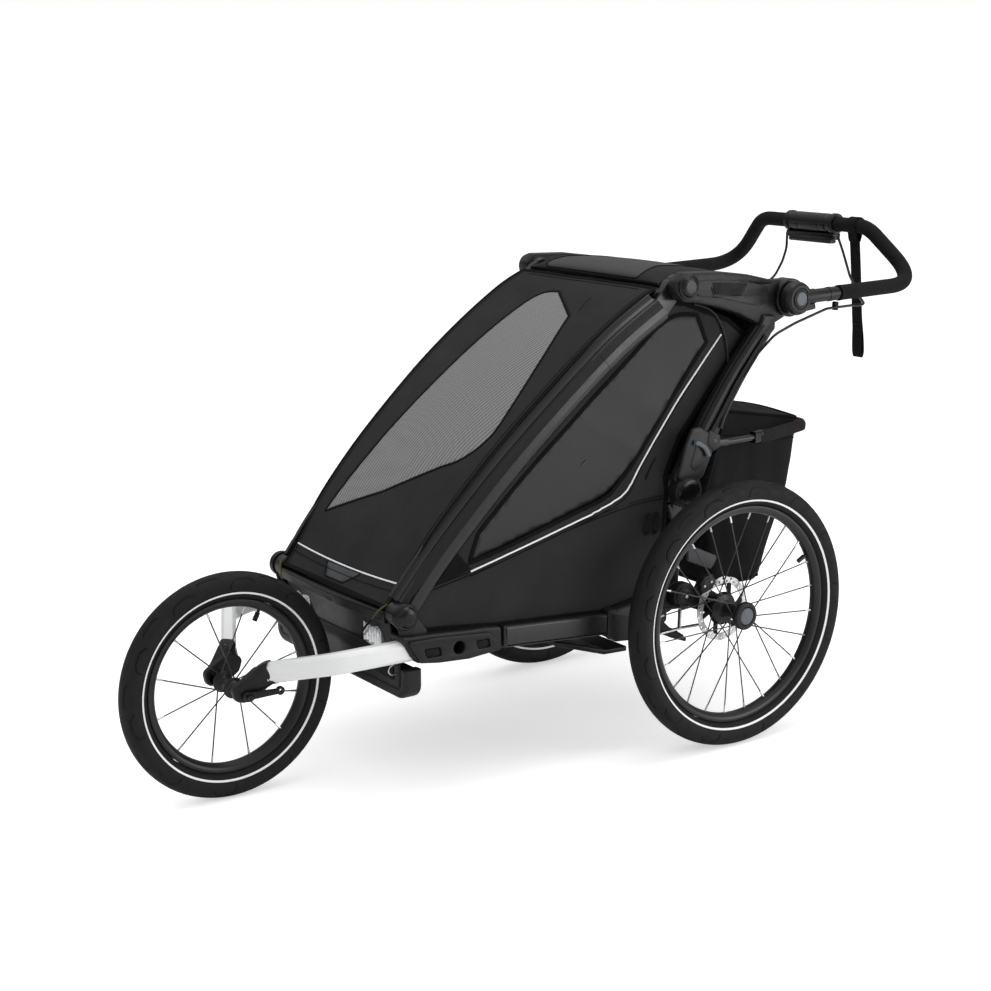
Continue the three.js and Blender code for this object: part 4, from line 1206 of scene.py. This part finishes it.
def build_upper_frame():
    beam = rounded([(-108, 829), (-110, 851), (-90, 867), (-8, 864.5), (60, 855.5), (126, 841.5),
                    (170, 841), (196, 821), (196, 791), (170, 773), (112, 750), (86, 765),
                    (40, 785), (-12, 801), (-60, 811), (-92, 815)], 12, 6)
    groove = rounded([(-70, 834), (-60, 852), (-10, 851), (62, 842), (112, 831), (120, 812),
                        (104, 792), (44, 806), (-10, 818), (-58, 824)], 8, 5)

    def tapered(shape):
        """The beam's outer face falls away towards the handle hub."""
        return [(x - np.interp(x, [212, 230], [0, 1]) * 11 * np.interp(y, [66, 128], [0, 1]), y, z)
                for x, y, z in shape[0]], shape[1]
    shell = tapered(plate(beam, 210.3, 239.2, 6.5, steps=2))
    field = tapered(plate(groove, 236, 240.2, 1.6))
    drum = disc(HANDLE_HUB, 35.2, 210.5, 241.4, 1.6, 72)
    post = rounded([(94, 768), (22, 684), (-28, 616), (-71, 550), (-101, 500), (-88, 471),
                    (-60, 463), (-42, 492), (-11, 545), (19, 600), (67, 680), (123, 748)], 14, 6)
    post_shell = plate(post, 216.3, 234, 5, steps=4)
    front_line = smooth([(98, 762), (60, 720), (26, 680), (-14, 626), (-46, 578), (-72, 534),
                         (-86, 500)], 6)
    rail = tube([(233.6, y + 4, z - 3) for y, z in front_line], 8.6, 24)
    rear_line = smooth([(116, 744), (84, 704), (50, 660), (16, 608), (4, 580)], 6)
    rear_rail = tube([(233.6, y, z) for y, z in rear_line], 4.6, 16)
    top_socket = plate(rounded([(98, 780), (88, 752), (108, 734), (128, 752), (128, 778)], 6, 4),
                       218, 240, 4)
    sleeve = rounded([(-84, 560), (-101, 503), (-84, 486), (-58, 486), (-40, 500), (-16, 548),
                      (-22, 574), (-52, 590), (-70, 588)], 9, 5)
    low_sleeve = plate(sleeve, 236, 243.6, 3)
    panel_line = rounded([(-62, 556), (-74, 520), (-62, 508), (-46, 520), (-30, 548), (-44, 562)],
                         6, 5)
    low_panel = plate(panel_line, 241, 244.6, 1.4)
    rail = joined(rail, low_panel)
    knuckle = disc(FOLD_REAR, 30.6, 216.4, 243, 3, 64)
    clamp = plate(rounded([(-31, 583), (-4, 570), (-2, 549), (-20, 541), (-34, 556)], 5, 5),
                  240, 244.7, 2)
    boss = disc((-16, 561), 6.5, 240, 244.9, 1)
    pair("upper_frame_shell", joined(shell, field, post_shell, rail, rear_rail, top_socket,
                                     low_sleeve, knuckle, clamp, boss), "top_frame", "plastic",
         "plastic", ["upper_frame_{side}"])
    pair("beam_drum", drum, "top_frame", "smooth_plastic", "plastic")
    badge = rounded([(-31, 847), (54, 841), (40, 820), (-21, 825)], 3, 4)
    badge_ring = rounded([(-34, 850), (58, 844), (42, 817), (-23, 822)], 4, 4)
    pair("beam_badge_field", plate(badge, 238.5, 240.6, 0.5), "top_frame", "deep_plastic",
         "plastic")
    ring = swept([(240.0, y, z) for y, z in badge_ring], circle(0.8, 8), up=(1, 0, 0), closed=True)
    pair("beam_badge_rim", ring, "top_frame", "smooth_plastic", "plastic")
    collar = turned([(18.5, 236), (22.4, 236), (22.4, 241.4), (18.5, 242.6)], (0, *FOLD_HIGH),
                    64, closed=True)
    pair("roof_knob", joined(disc(FOLD_HIGH, 18, 236, 246.5, 3.2, 64, dish=1.2), collar),
         "top_frame", "smooth_plastic", "plastic")
    pair("rear_knuckle_cap", disc(FOLD_REAR, 26, 238, 247, 3.5, 64, dish=1.6), "top_frame",
         "smooth_plastic", "plastic")
    teeth = [tube([(241.4, y + 4.0, z - 2.4), (241.4, y + 6.6, z - 4.4)], 0.8, 6)
             for y, z in resampled([(92, 755), (60, 720), (26, 680), (-14, 626), (-40, 588)], 3.6,
                                   closed=False)]
    # Painted shade: a near-black strip laid in the channel between the post's two rails.
    channel = swept([(237.6, y, z) for y, z in smooth([
        (108, 744), (76, 706), (42, 664), (8, 614), (-22, 572)], 6)], box_section(9, 2, 0.6, 3),
        up=(1, 0, 0))
    pair("post_channel", channel, "top_frame", "deep_plastic", "plastic")
    pair("post_scale", joined(*teeth), "top_frame", "spoke", "rotor_steel")
    pair("clamp_screw", disc((-16, 561), 3.6, 244, 245.1, 0.4, 24), "top_frame", "spoke",
         "rotor_steel")
    band = swept(smooth([(248.6, -67, 563), (248.8, -55, 559), (248.8, -43, 550),
                         (248.6, -34.5, 536)], 8), box_section(8.5, 6.5, 2.2), up=(1, 0, 0))
    pair("fold_latch_band", band, "latch_{side}", "button", "button_grey",
         ["fold_latch_{side}"])
    piece("upper_cross_bar", tube([(-209, 96, 806), (0, 96, 806), (209, 96, 806)], 11, 40),
          "top_frame", "tube", "dark_tube", ["upper_cross_tube"])

    roof = Sheet(smooth([(-114, 842), (-106, 857), (-84, 865), (-50, 868), (30, 861), (120, 841),
                         (146, 824)], 7), lambda y, z: 192.0, 2.0, 0.8)

    def on_roof(x, s, rise=0.0):
        _, y, z = roof.at(x, s, rise)
        share = abs(x) / 192
        fall = 15 * share ** 7 + 2.5 * share ** 2
        bump = 2.0 * math.exp(-((abs(x) - 158) / 16) ** 2) * math.sin(s / 24) ** 2
        return x, y, z - (fall - bump) * min(1.0, s / 30)
    panel = rounded([(-150, 8), (138, 8), (122, 70), (126, 140), (104, 214), (-104, 214),
                     (-126, 140), (-136, 70)], 14, 6)
    cloth_part, net_part = patches(roof.border(1, roof.length - 1), on_roof, 9, (panel,))
    shell = thicken(piece("roof_cloth", cloth_part, "top_frame", "cloth", "fabric", ["roof"],
                          tidy=False), 1.6)
    net = thicken(piece("roof_net_panel", net_part, "top_frame", "roof_netting", "fabric",
                        tidy=False), 1.2)
    front_seam = [on_roof(x, 4, 0.6) for x in np.linspace(-188, 188, 60)]
    rear_seam = [on_roof(x, roof.length - 5, 0.6) for x in np.linspace(-188, 188, 60)]
    outline = [on_roof(x, s, 0.5) for x, s in resampled(panel, 9)]
    piece("roof_edging", joined(tube(front_seam, 2.6, 8), tube(rear_seam, 2.2, 8),
                                tube(outline, 1.0, 8, closed=True)), "top_frame", "cloth_trim",
          "fabric")
    tab = [on_roof(x, roof.length - 20, 2.5) for x in (150, 156, 162)]
    piece("roof_tab", swept(tab, box_section(12, 2, 0.6, 3), up=(0, 0.2, 1)), "top_frame", "red",
          "fabric")

    back = Sheet(smooth([(143, 803), (118, 730), (58, 580), (4, 422), (-30, 378), (-55, 354)], 8),
                 lambda y, z: 189.0, -5.0, 2.0)

    def on_back(x, s, rise=0.0):
        x, y, z = back.at(x, s, 0)
        return x, y + rise, z
    flap = rounded([(-120, 60), (120, 60), (120, 225), (-120, 225)], 20, 6)
    back_cloth = thicken(piece("rear_cloth", patches(back.border(1, back.length - 1), on_back,
                                                     11)[0], "top_frame", "cloth", "fabric",
                               ["rear_panel"], tidy=False), 1.6, 1)
    lines = [tube([on_back(x, s, 1.2) for x, s in resampled(flap, 9)], 1.6, 8, closed=True)]
    lines += [tube([on_back(x, s, 1.0) for s in np.linspace(4, back.length - 4, 50)], 1.1, 8)
              for x in (-172, 172)]
    lines += [tube([on_back(x, s, 1.0) for x in np.linspace(-186, 186, 50)], 1.1, 8)
              for s in (8, 300, back.length - 10)]
    piece("rear_seams", joined(*lines), "top_frame", "seam", "fabric")


def build_cargo_bag():
    """A soft sewn bag: levels of rounded outlines from the floor up to a sagging lid."""
    levels = [(254, 176, 64, 158), (262, 182, 60, 163), (330, 206, 44, 166), (390, 228, 32, 166),
              (430, 245, 24, 166.5), (480, 254, 40, 167), (520, 259, 52, 167), (548, 263, 62, 167),
              (572, 266, 70, 166), (582, 266, 73, 165)]
    sides = 148
    points, faces = [], []

    def corner(k, front, rear, half):
        loop = resampled(rounded([(-half, front), (half, front), (half, rear), (-half, rear)], 16,
                                 6), 4)
        at = k / sides * len(loop)
        a, b = loop[int(at) % len(loop)], loop[(int(at) + 1) % len(loop)]
        return np.array(a) + (np.array(b) - np.array(a)) * (at - int(at))
    heights = np.concatenate([np.linspace(254, 548, 40), np.linspace(552, 583, 8)])
    for z in heights:
        rear, front, half = (float(np.interp(z, [v[0] for v in levels], [v[k] for v in levels]))
                             for k in (1, 2, 3))
        for k in range(sides):
            x, y = corner(k, front, rear, half)
            out = unit(np.array([x / half, (y - (front + rear) / 2) / (rear - front)]))
            fold = 2.2 * noise.noise(Vector((x / 26, y / 26, z / 190)))
            fold += 3.0 * noise.noise(Vector((x / 70, y / 70, z / 80 + 4)))
            fold *= 1 - 0.75 * (z > 545)
            drop = 4 * math.sin(x / 52 + 0.7) * max(0.0, (z - 520) / 63)
            points.append((x + out[0] * fold, y + out[1] * fold, z + drop - 0.16 * (y - 160)
                           * max(0, (z - 480) / 100)))
    count = len(heights)
    for i in range(count - 1):
        a, b = i * sides, (i + 1) * sides
        faces += [[a + k, a + (k + 1) % sides, b + (k + 1) % sides, b + k] for k in range(sides)]
    faces.append(list(range(sides))[::-1])
    top = (count - 1) * sides
    ring = [np.array(points[top + k]) for k in range(sides)]
    middle = np.mean(ring, 0)
    inner = 16
    for step in range(1, inner + 1):
        share = 1 - step / (inner + 1)
        for k in range(sides):
            p = middle + (ring[k] - middle) * share
            crown = 0.8 + 0.5 * noise.noise(Vector((p[0] / 45, p[1] / 45, 1)))
            crown *= 5 * (1 - share ** 4)
            wrinkle = 9 * noise.noise(Vector((p[0] / 26, p[1] / 70, 9)))
            points.append((p[0], p[1], p[2] + crown + wrinkle * (1 - share ** 3)))
        a, b = top + (step - 1) * sides, top + step * sides
        faces += [[a + k, a + (k + 1) % sides, b + (k + 1) % sides, b + k] for k in range(sides)]
    faces.append([top + inner * sides + k for k in range(sides)])
    piece("cargo_bag_shell", (points, faces), "top_frame", "bag_cloth", "fabric", ["cargo_bag"])

    def ring_at(z, out):
        first = int(np.argmin(np.abs(heights - z))) * sides
        level = points[first:first + sides]
        centre = np.mean(level, 0)
        return [np.array(p) + np.append(unit((np.array(p) - centre)[:2]), 0) * out for p in level]
    rolled = tube(ring_at(583, 0.2), 3.0, 10, closed=True)
    low_seam = tube(ring_at(262, 0.4), 1.6, 8, closed=True)
    piece("cargo_bag_edging", joined(rolled, low_seam), "top_frame", "cloth_trim", "fabric")
    seam_lines = [tube(ring_at(z, 0.5), 0.9, 8, closed=True) for z in (540, 534, 430)]
    piece("cargo_bag_seams", joined(*seam_lines), "top_frame", "seam", "fabric")
    red = swept([(166.5, 258, 560), (166.5, 258, 545)], box_section(9, 2, 0.6, 3), up=(1, 0, 0))
    piece("cargo_bag_tab", red, "top_frame", "red", "fabric")

    half_route = [(230, 20, 552), (228, 96, 553), (176, 272, 553)]
    route = half_route + [(-x, y, z) for x, y, z in half_route[::-1]]
    path = rounded(route, 30, 8, closed=False)
    frame_tube = tube(path, 6, 20)
    sleeved = []
    for p in resampled(path, 5, closed=False):
        if p[1] > 104:
            lift = 1.6 * noise.noise(Vector((p[0] / 31, p[1] / 31, 2.2)))
            sleeved.append(p + (0, 1.0, 2 + lift))
    sleeve = swept(sleeved, rounded([(-8, -15), (8, -15), (9, -2), (5, 5), (-7, 6)], 4, 4))
    piece("cargo_bag_sleeve", sleeve, "top_frame", "bag_cloth", "fabric")
    mouths = [swept([(s * 228.4, 90, 553), (s * 226.5, 104, 553), (s * 224, 114, 553.5)],
                    box_section(15, 21, 4)) for s in (1, -1)]
    piece("bag_sleeve_mouths", joined(*mouths), "top_frame", "smooth_plastic", "plastic")
    straps = [swept([(s * 229, -18, 556), (s * 230, 4, 553), (s * 230, 24, 552)],
                    box_section(11, 13, 3)) for s in (1, -1)]
    piece("bag_frame_tube", joined(frame_tube, *straps), "top_frame", "tube", "dark_tube",
          ["bag_frame"])


# ---------------------------------------------------------------- folding struts and suspension
def build_struts():
    bar = plate(rounded([(-94, 281), (-88, 473), (-58, 473), (-66, 281)], 8, 4), 196.4, 211.6, 5)
    high = disc(FOLD_REAR, 29, 196.4, 215.4, 2.5, 56)
    low = disc(STRUT_FOOT, 21.6, 196.4, 211.6, 2.5, 48)
    pair("strut_bar", joined(bar, high, low), "struts", "tube", "dark_tube", ["strut_{side}"])
    rod = tube([(210.5, -97, 448), (210.5, -88, 428), (210.5, -82, 405)], 5, 20)
    pair("strut_rod", rod, "struts", "tube", "rotor_steel")


def build_suspension():
    arm = plate(rounded([(-82, 298), (0, 265), (14, 247), (0, 229), (-82, 262)], 10, 6), 224.8,
                246, 4)
    pivot = disc(STRUT_FOOT, 25, 224.8, 246.2, 3, 64)
    axle = disc((0, 247), 19.6, 224.8, 246.2, 3, 56)
    wedge = plate(rounded([(-64, 372), (10, 339), (-6, 316), (-62, 340)], 8, 5), 225, 232, 2)
    caliper_in = plate(rounded([(-66, 288), (-52, 312), (-24, 318), (-16, 300), (-28, 282),
                                (-52, 276)], 8, 6), 246, 255.4, 2.6)
    caliper_out = plate(rounded([(-60, 294), (-50, 309), (-28, 314), (-22, 302), (-32, 290),
                                 (-52, 284)], 6, 6), 259.8, 264.3, 1.6)
    bridge = plate(rounded([(-60, 300), (-50, 314), (-30, 319), (-28, 311), (-46, 305),
                            (-54, 296)], 3, 4), 250, 263, 2)
    pair("suspension_arm_shell", joined(arm, pivot, axle, caliper_in, caliper_out, bridge),
         "suspension_{side}", "plastic", "plastic", ["suspension_arm_{side}"])
    pair("suspension_wedge", wedge, "suspension_{side}", "wedge", "plastic")
    cap = domed_knob(STRUT_FOOT, 21, 244, 250)
    pair("suspension_cap", cap, "suspension_{side}", "smooth_plastic", "plastic")
    bolts = [disc(STRUT_FOOT, 3.2, 249, 251.2, 0.6, 24), disc((-50, 298), 2.4, 263, 265.8, 0.5, 20),
             disc((-34, 304), 2.4, 263, 265.8, 0.5, 20), disc((-22, 262), 2.4, 245, 247.8, 0.5, 20),
             disc((-30, 240), 2.4, 245, 247.8, 0.5, 20)]
    pair("suspension_bolts", joined(*bolts), "suspension_{side}", "steel", "rotor_steel")
    link = swept([(232, -128, 214.5), (232, -80, 216), (232, -34, 215)], box_section(9, 3.4, 1))
    drop = swept([(232, -80, 252), (232, -81, 218)], box_section(8, 3.4, 1), up=(0, 1, 0))
    pair("brake_link", joined(link, drop), "chassis", "steel", "rotor_steel")
    tube_path = smooth([(205, -175, 262), (232, -150, 262), (244, -110, 262), (250, -78, 262)], 8)
    pair("caliper_hose", tube(tube_path, 2.4, 10), "chassis", "smooth_plastic", "plastic")
    cross = tube([(-197, *CROSS_TUBE), (0, *CROSS_TUBE), (197, *CROSS_TUBE)], 14, 44)
    piece("rear_cross_bar", cross, "chassis", "tube", "dark_tube", ["rear_cross_tube"])
    arm_line = rounded([(-151, 238), (-134, 265), (-64, 201), (-29, 179.5), (-29, 171), (-66, 185)],
                       6, 5)
    collar_hole = [(CROSS_TUBE[0] + a, CROSS_TUBE[1] + b) for a, b in circle(15, 40)]
    collar_rim = [(CROSS_TUBE[0] + a, CROSS_TUBE[1] + b) for a, b in circle(20, 48)]
    collar = plate(collar_rim, 165.3, 194.7, 2, [collar_hole])
    arm_shape = plate([(y, z) for y, z in arm_line if (y + 150) ** 2 + (z - 256) ** 2 > 330],
                      166, 194, 3)
    pads = [tube([(168, y, z), (180, y, z + 0.6), (192, y, z)], 1.6, 8)
            for y, z in ((-58, 198.5), (-51, 194), (-44, 189.5), (-37, 185))]
    piece("brake_pedal_shell", joined(collar, arm_shape, *pads), "parking_pedal", "plastic",
          "plastic", ["brake_pedal"])


# ---------------------------------------------------------------- handlebar
def build_handlebar():
    half = [(256, 206, 809), (257, 480, 817), (148, 450, 918)]
    route = rounded(half + [(-x, y, z) for x, y, z in half[::-1]], 62, 14, closed=False)
    bar = resampled(route, 6, closed=False)
    piece("handlebar_metal", tube(bar, 11, 28), "handlebar", "tube", "dark_tube",
          ["handlebar_tube"])
    covered = [p for p in bar if p[1] > 262 and p[0] != 0]
    grip = tube(covered, 14.2, 36)
    ends = [swept([p, p + unit(q - p) * 7], circle(14.6, 32)) for p, q in
            ((covered[0], covered[1]), (covered[-1], covered[-2]))]
    piece("handlebar_foam", joined(grip, *ends), "handlebar", "foam", "foam", ["handlebar_grip"])
    rings = []
    for _, sign in SIDES:
        for y, radius, length in ((205.5, 12.7, 34), (239, 13.5, 8), (247, 12.9, 13)):
            z = 809 + (y - 206) * 8 / 274
            rings.append(tube([(sign * 256, y, z), (sign * 256, y + length, z + length * 0.029)],
                              radius, 36))
    piece("handlebar_collars", joined(*rings), "handlebar", "smooth_plastic", "plastic")
    clip = plate(rounded([(253, 780), (263, 779), (264, 795), (254, 796)], 2.5, 4), 255, 263, 1.2)
    pair("handlebar_clip", clip, "handlebar", "deep_plastic", "plastic")

    profile = [(0, 242.2), (28, 242.2), (30.8, 245), (30.8, 258), (28.5, 264), (24, 266.5),
               (20.5, 266.5), (19, 264.8), (17.2, 264.8), (16.2, 267.6), (13.5, 267.6),
               (13.4, 261.5), (0, 261.5)]
    hub = turned(rounded(profile, 1.0, 4, closed=False), (0, *HANDLE_HUB), 80)
    socket = swept([(256, 178, 808.3), (256, 196, 808.8), (256, 205, 809)], circle(13.8, 36))
    block = plate(rounded([(176, 783), (204, 786), (202, 797), (180, 796)], 3, 4), 247, 265, 2)
    pair("handle_hub_shell", joined(hub, socket, block), "handlebar", "plastic", "plastic",
         ["handle_hub_{side}"])
    button = [(0, 265.2), (12.6, 265.2), (12.9, 266), (12.7, 268.4), (11, 269.6), (5, 269.9),
              (0, 269.9)]
    pair("tilt_button_cap", turned(rounded(button, 0.8, 4, closed=False), (0, *HANDLE_HUB), 56),
         "tilt_button_{side}", "button", "button_grey", ["handle_button_{side}"])

    half_profile = [(14.6, 67.5), (18, 67.5), (20.6, 65.5), (20.8, 57), (19.4, 55.5), (18.2, 54),
                    (18.2, 47), (19.2, 45.5), (19.4, 30), (18.8, 29), (19.4, 28), (19.4, 0)]
    outline = rounded([*half_profile, *[(r, -x) for r, x in half_profile[-2::-1]]], 0.7, 3)
    body = turned(outline, (0, *CROSSBAR), 64, closed=True)
    seat = plate(rounded([(438, 899), (462, 899), (460, 886), (440, 886)], 3, 4), -66, 66, 2)
    piece("brake_housing_shell", joined(body, seat), "handlebar", "smooth_plastic", "plastic",
          ["brake_housing"])
    blade = rounded([(439, 883), (442, 887.5), (456, 887.5), (459, 882), (456, 878.6),
                     (442, 878.6)], 2.5, 4)
    piece("brake_lever_blade", plate(blade, -59.6, 57.6, 2), "brake_grip_lever", "plastic",
          "plastic", ["brake_lever"])

    band = [(450 + 16.2 * math.sin(a), 918 + 16.2 * math.cos(a))
            for a in np.linspace(-2.6, 2.6, 30)]
    left = [(443.5, 896), (446, 888), (449, 884), (455, 830), (463, 745), (466, 715)]
    right = [(456.5, 896), (454, 888), (452.5, 884), (458.5, 830), (466.5, 745), (471, 715)]
    line = smooth([*right[::-1], *band[::-1], *left], 4)
    wrap = swept([(116, y, z) for y, z in line], box_section(23, 1.9, 0.6, 3), up=(0, 1, 0.2))
    tail = smooth([(466, 716), (466.5, 690), (468, 668), (472, 657.5), (476.5, 666), (475, 690),
                   (471, 716)], 6)
    end_loop = swept([(116, y, z) for y, z in tail], box_section(23, 1.9, 0.6, 3), up=(0, 1, 0.2))
    stitched = [tube([(107, y - 2.4, z), (125, y - 2.4, z)], 0.6, 6)
                for y, z in ((450, 880), (451, 868), (466, 726), (466.6, 718))]
    piece("wrist_strap_band", joined(wrap, end_loop), "handlebar", "webbing", "fabric",
          ["wrist_strap"])
    piece("wrist_strap_stitching", joined(*stitched), "handlebar", "seam", "fabric")


def build_cables():
    """The two brake cables, from the grip unit down to the frame's side beams."""
    start = (72, 448, 893)
    end = [(262, 154, 763), (257, 110, 745), (250, 78, 714), (249, 46, 673)]
    left = [start, (92, 442, 868), (150, 405, 826), (222, 362, 792), (258, 338, 784),
            (262, 300, 786), (260, 236, 784), *end]
    right = [start, (68, 444, 862), (66, 432, 836), (67, 414, 808), (74, 392, 788), (120, 330, 768),
             (180, 272, 760), (232, 220, 764), (252, 190, 768), *end]
    for name, route, sign in (("left", left, 1), ("right", right, -1)):
        path = [np.array(p) * (sign, 1, 1) for p in rounded(route, 60, 8, closed=False)]
        path = resampled(path, 7, closed=False)
        mesh = tube(path, 2.5, 14)
        obj = piece(f"brake_cable_sheath_{name}", mesh, None, "smooth_plastic", "plastic",
                    [f"brake_cable_{name}"])
        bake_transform(obj)


# ---------------------------------------------------------------- camera, light and floor
def build_stage():
    camera = bpy.data.objects.new("camera", bpy.data.cameras.new("camera"))
    bpy.context.scene.collection.objects.link(camera)
    camera.data.sensor_width = 36
    camera.data.lens = 67.07
    camera.location = (2.7019, -2.2164 + AXLE_Y, 1.1955)
    yaw, pitch = math.radians(55.07), math.radians(12.67)
    ahead = Vector((-math.sin(yaw) * math.cos(pitch), math.cos(yaw) * math.cos(pitch),
                    -math.sin(pitch)))
    camera.rotation_mode = "QUATERNION"
    camera.rotation_quaternion = ahead.to_track_quat("-Z", "Y")
    camera.data.clip_end = 50
    bpy.context.scene.camera = camera

    # The studio is white to the eye. Its light comes from above, and its walls are dimmer.
    world = bpy.data.worlds.new("studio")
    bpy.context.scene.world = world
    world.use_nodes = True
    tree = world.node_tree
    white = tree.nodes["Background"]
    white.inputs["Color"].default_value = (1, 1, 1, 1)
    lit = tree.nodes.new("ShaderNodeBackground")
    height = tree.nodes.new("ShaderNodeSeparateXYZ")
    tree.links.new(tree.nodes.new("ShaderNodeTexCoord").outputs["Generated"], height.inputs[0])
    fade = tree.nodes.new("ShaderNodeMapRange")
    fade.interpolation_type = "SMOOTHSTEP"
    for socket, value in zip(list(fade.inputs)[1:5], (0.05, 0.95, *WALL_TO_CEILING)):
        socket.default_value = value
    tree.links.new(height.outputs["Z"], fade.inputs["Value"])
    tree.links.new(fade.outputs["Result"], lit.inputs["Strength"])
    seen = tree.nodes.new("ShaderNodeLightPath").outputs["Is Camera Ray"]
    mix = tree.nodes.new("ShaderNodeMixShader")
    tree.links.new(seen, mix.inputs[0])
    tree.links.new(lit.outputs[0], mix.inputs[1])
    tree.links.new(white.outputs[0], mix.inputs[2])
    tree.links.new(mix.outputs[0], tree.nodes["World Output"].inputs["Surface"])
    bpy.context.scene.view_settings.view_transform = "Standard"

    def softbox(name, place, target, size, power):
        lamp = bpy.data.lights.new(name, "AREA")
        lamp.shape, lamp.size, lamp.size_y, lamp.energy = "RECTANGLE", *size, power
        obj = bpy.data.objects.new(name, lamp)
        bpy.context.scene.collection.objects.link(obj)
        obj.location = place
        obj.rotation_euler = (Vector(target) - Vector(place)).to_track_quat("-Z", "Y").to_euler()
    softbox("top_light", (0.3, 0.5, 3.2), (0, 0, 0.4), (1.6, 1.6), 22)
    softbox("left_light", (2.7, 2.0, 1.2), (0, 0, 0.5), (1.6, 1.6), 28)
    softbox("low_light", (2.4, 2.0, 0.45), (0, 0, 0.4), (2.0, 0.8), 9)
    softbox("front_light", (0.2, -3.2, 1.2), (0, 0, 0.4), (1.4, 1.4), 9)

    bpy.ops.mesh.primitive_plane_add(size=40)
    floor = bpy.context.object
    floor.name = "studio_floor"
    paint = Nodes("studio_paper")
    paint.shader.inputs["Specular IOR Level"].default_value = 0.0
    paint.join(paint.between(paint.noise(2.0), (0.93, 0.93, 0.93), (0.95, 0.95, 0.95)),
               paint.shader.inputs["Base Color"])
    paint.shader.inputs["Roughness"].default_value = 1.0
    paint.shader.inputs["Emission Color"].default_value = (1, 1, 1, 1)
    seen = paint.add("ShaderNodeLightPath").outputs["Is Camera Ray"]
    paint.join(paint.spread(seen, 0.05, 0.5, 0, 1), paint.shader.inputs["Emission Strength"])
    floor.data.materials.append(paint.material)


build_stage()
build_cables()
build_wheels()
build_fork()
build_chassis()
build_seat()
build_front_frame()
build_side_panels()
build_upper_frame()
build_cargo_bag()
build_struts()
build_suspension()
build_handlebar()

CAD_LOOKS = {"tread": "rubber", "rim": "rim", "rotor_steel": "steel", "plastic": "plastic",
             "button_grey": "button", "white_paint": "white", "dark_tube": "tube",
             "fabric": "cloth", "foam": "foam"}
slot_of = {s["node"]: s["material_slot"] for s in frame["record"]["subparts"]}
for node, obj in frame["nodes"].items():
    obj.data.materials.clear()
    obj.data.materials.append(LOOK[CAD_LOOKS[slot_of[node]]])
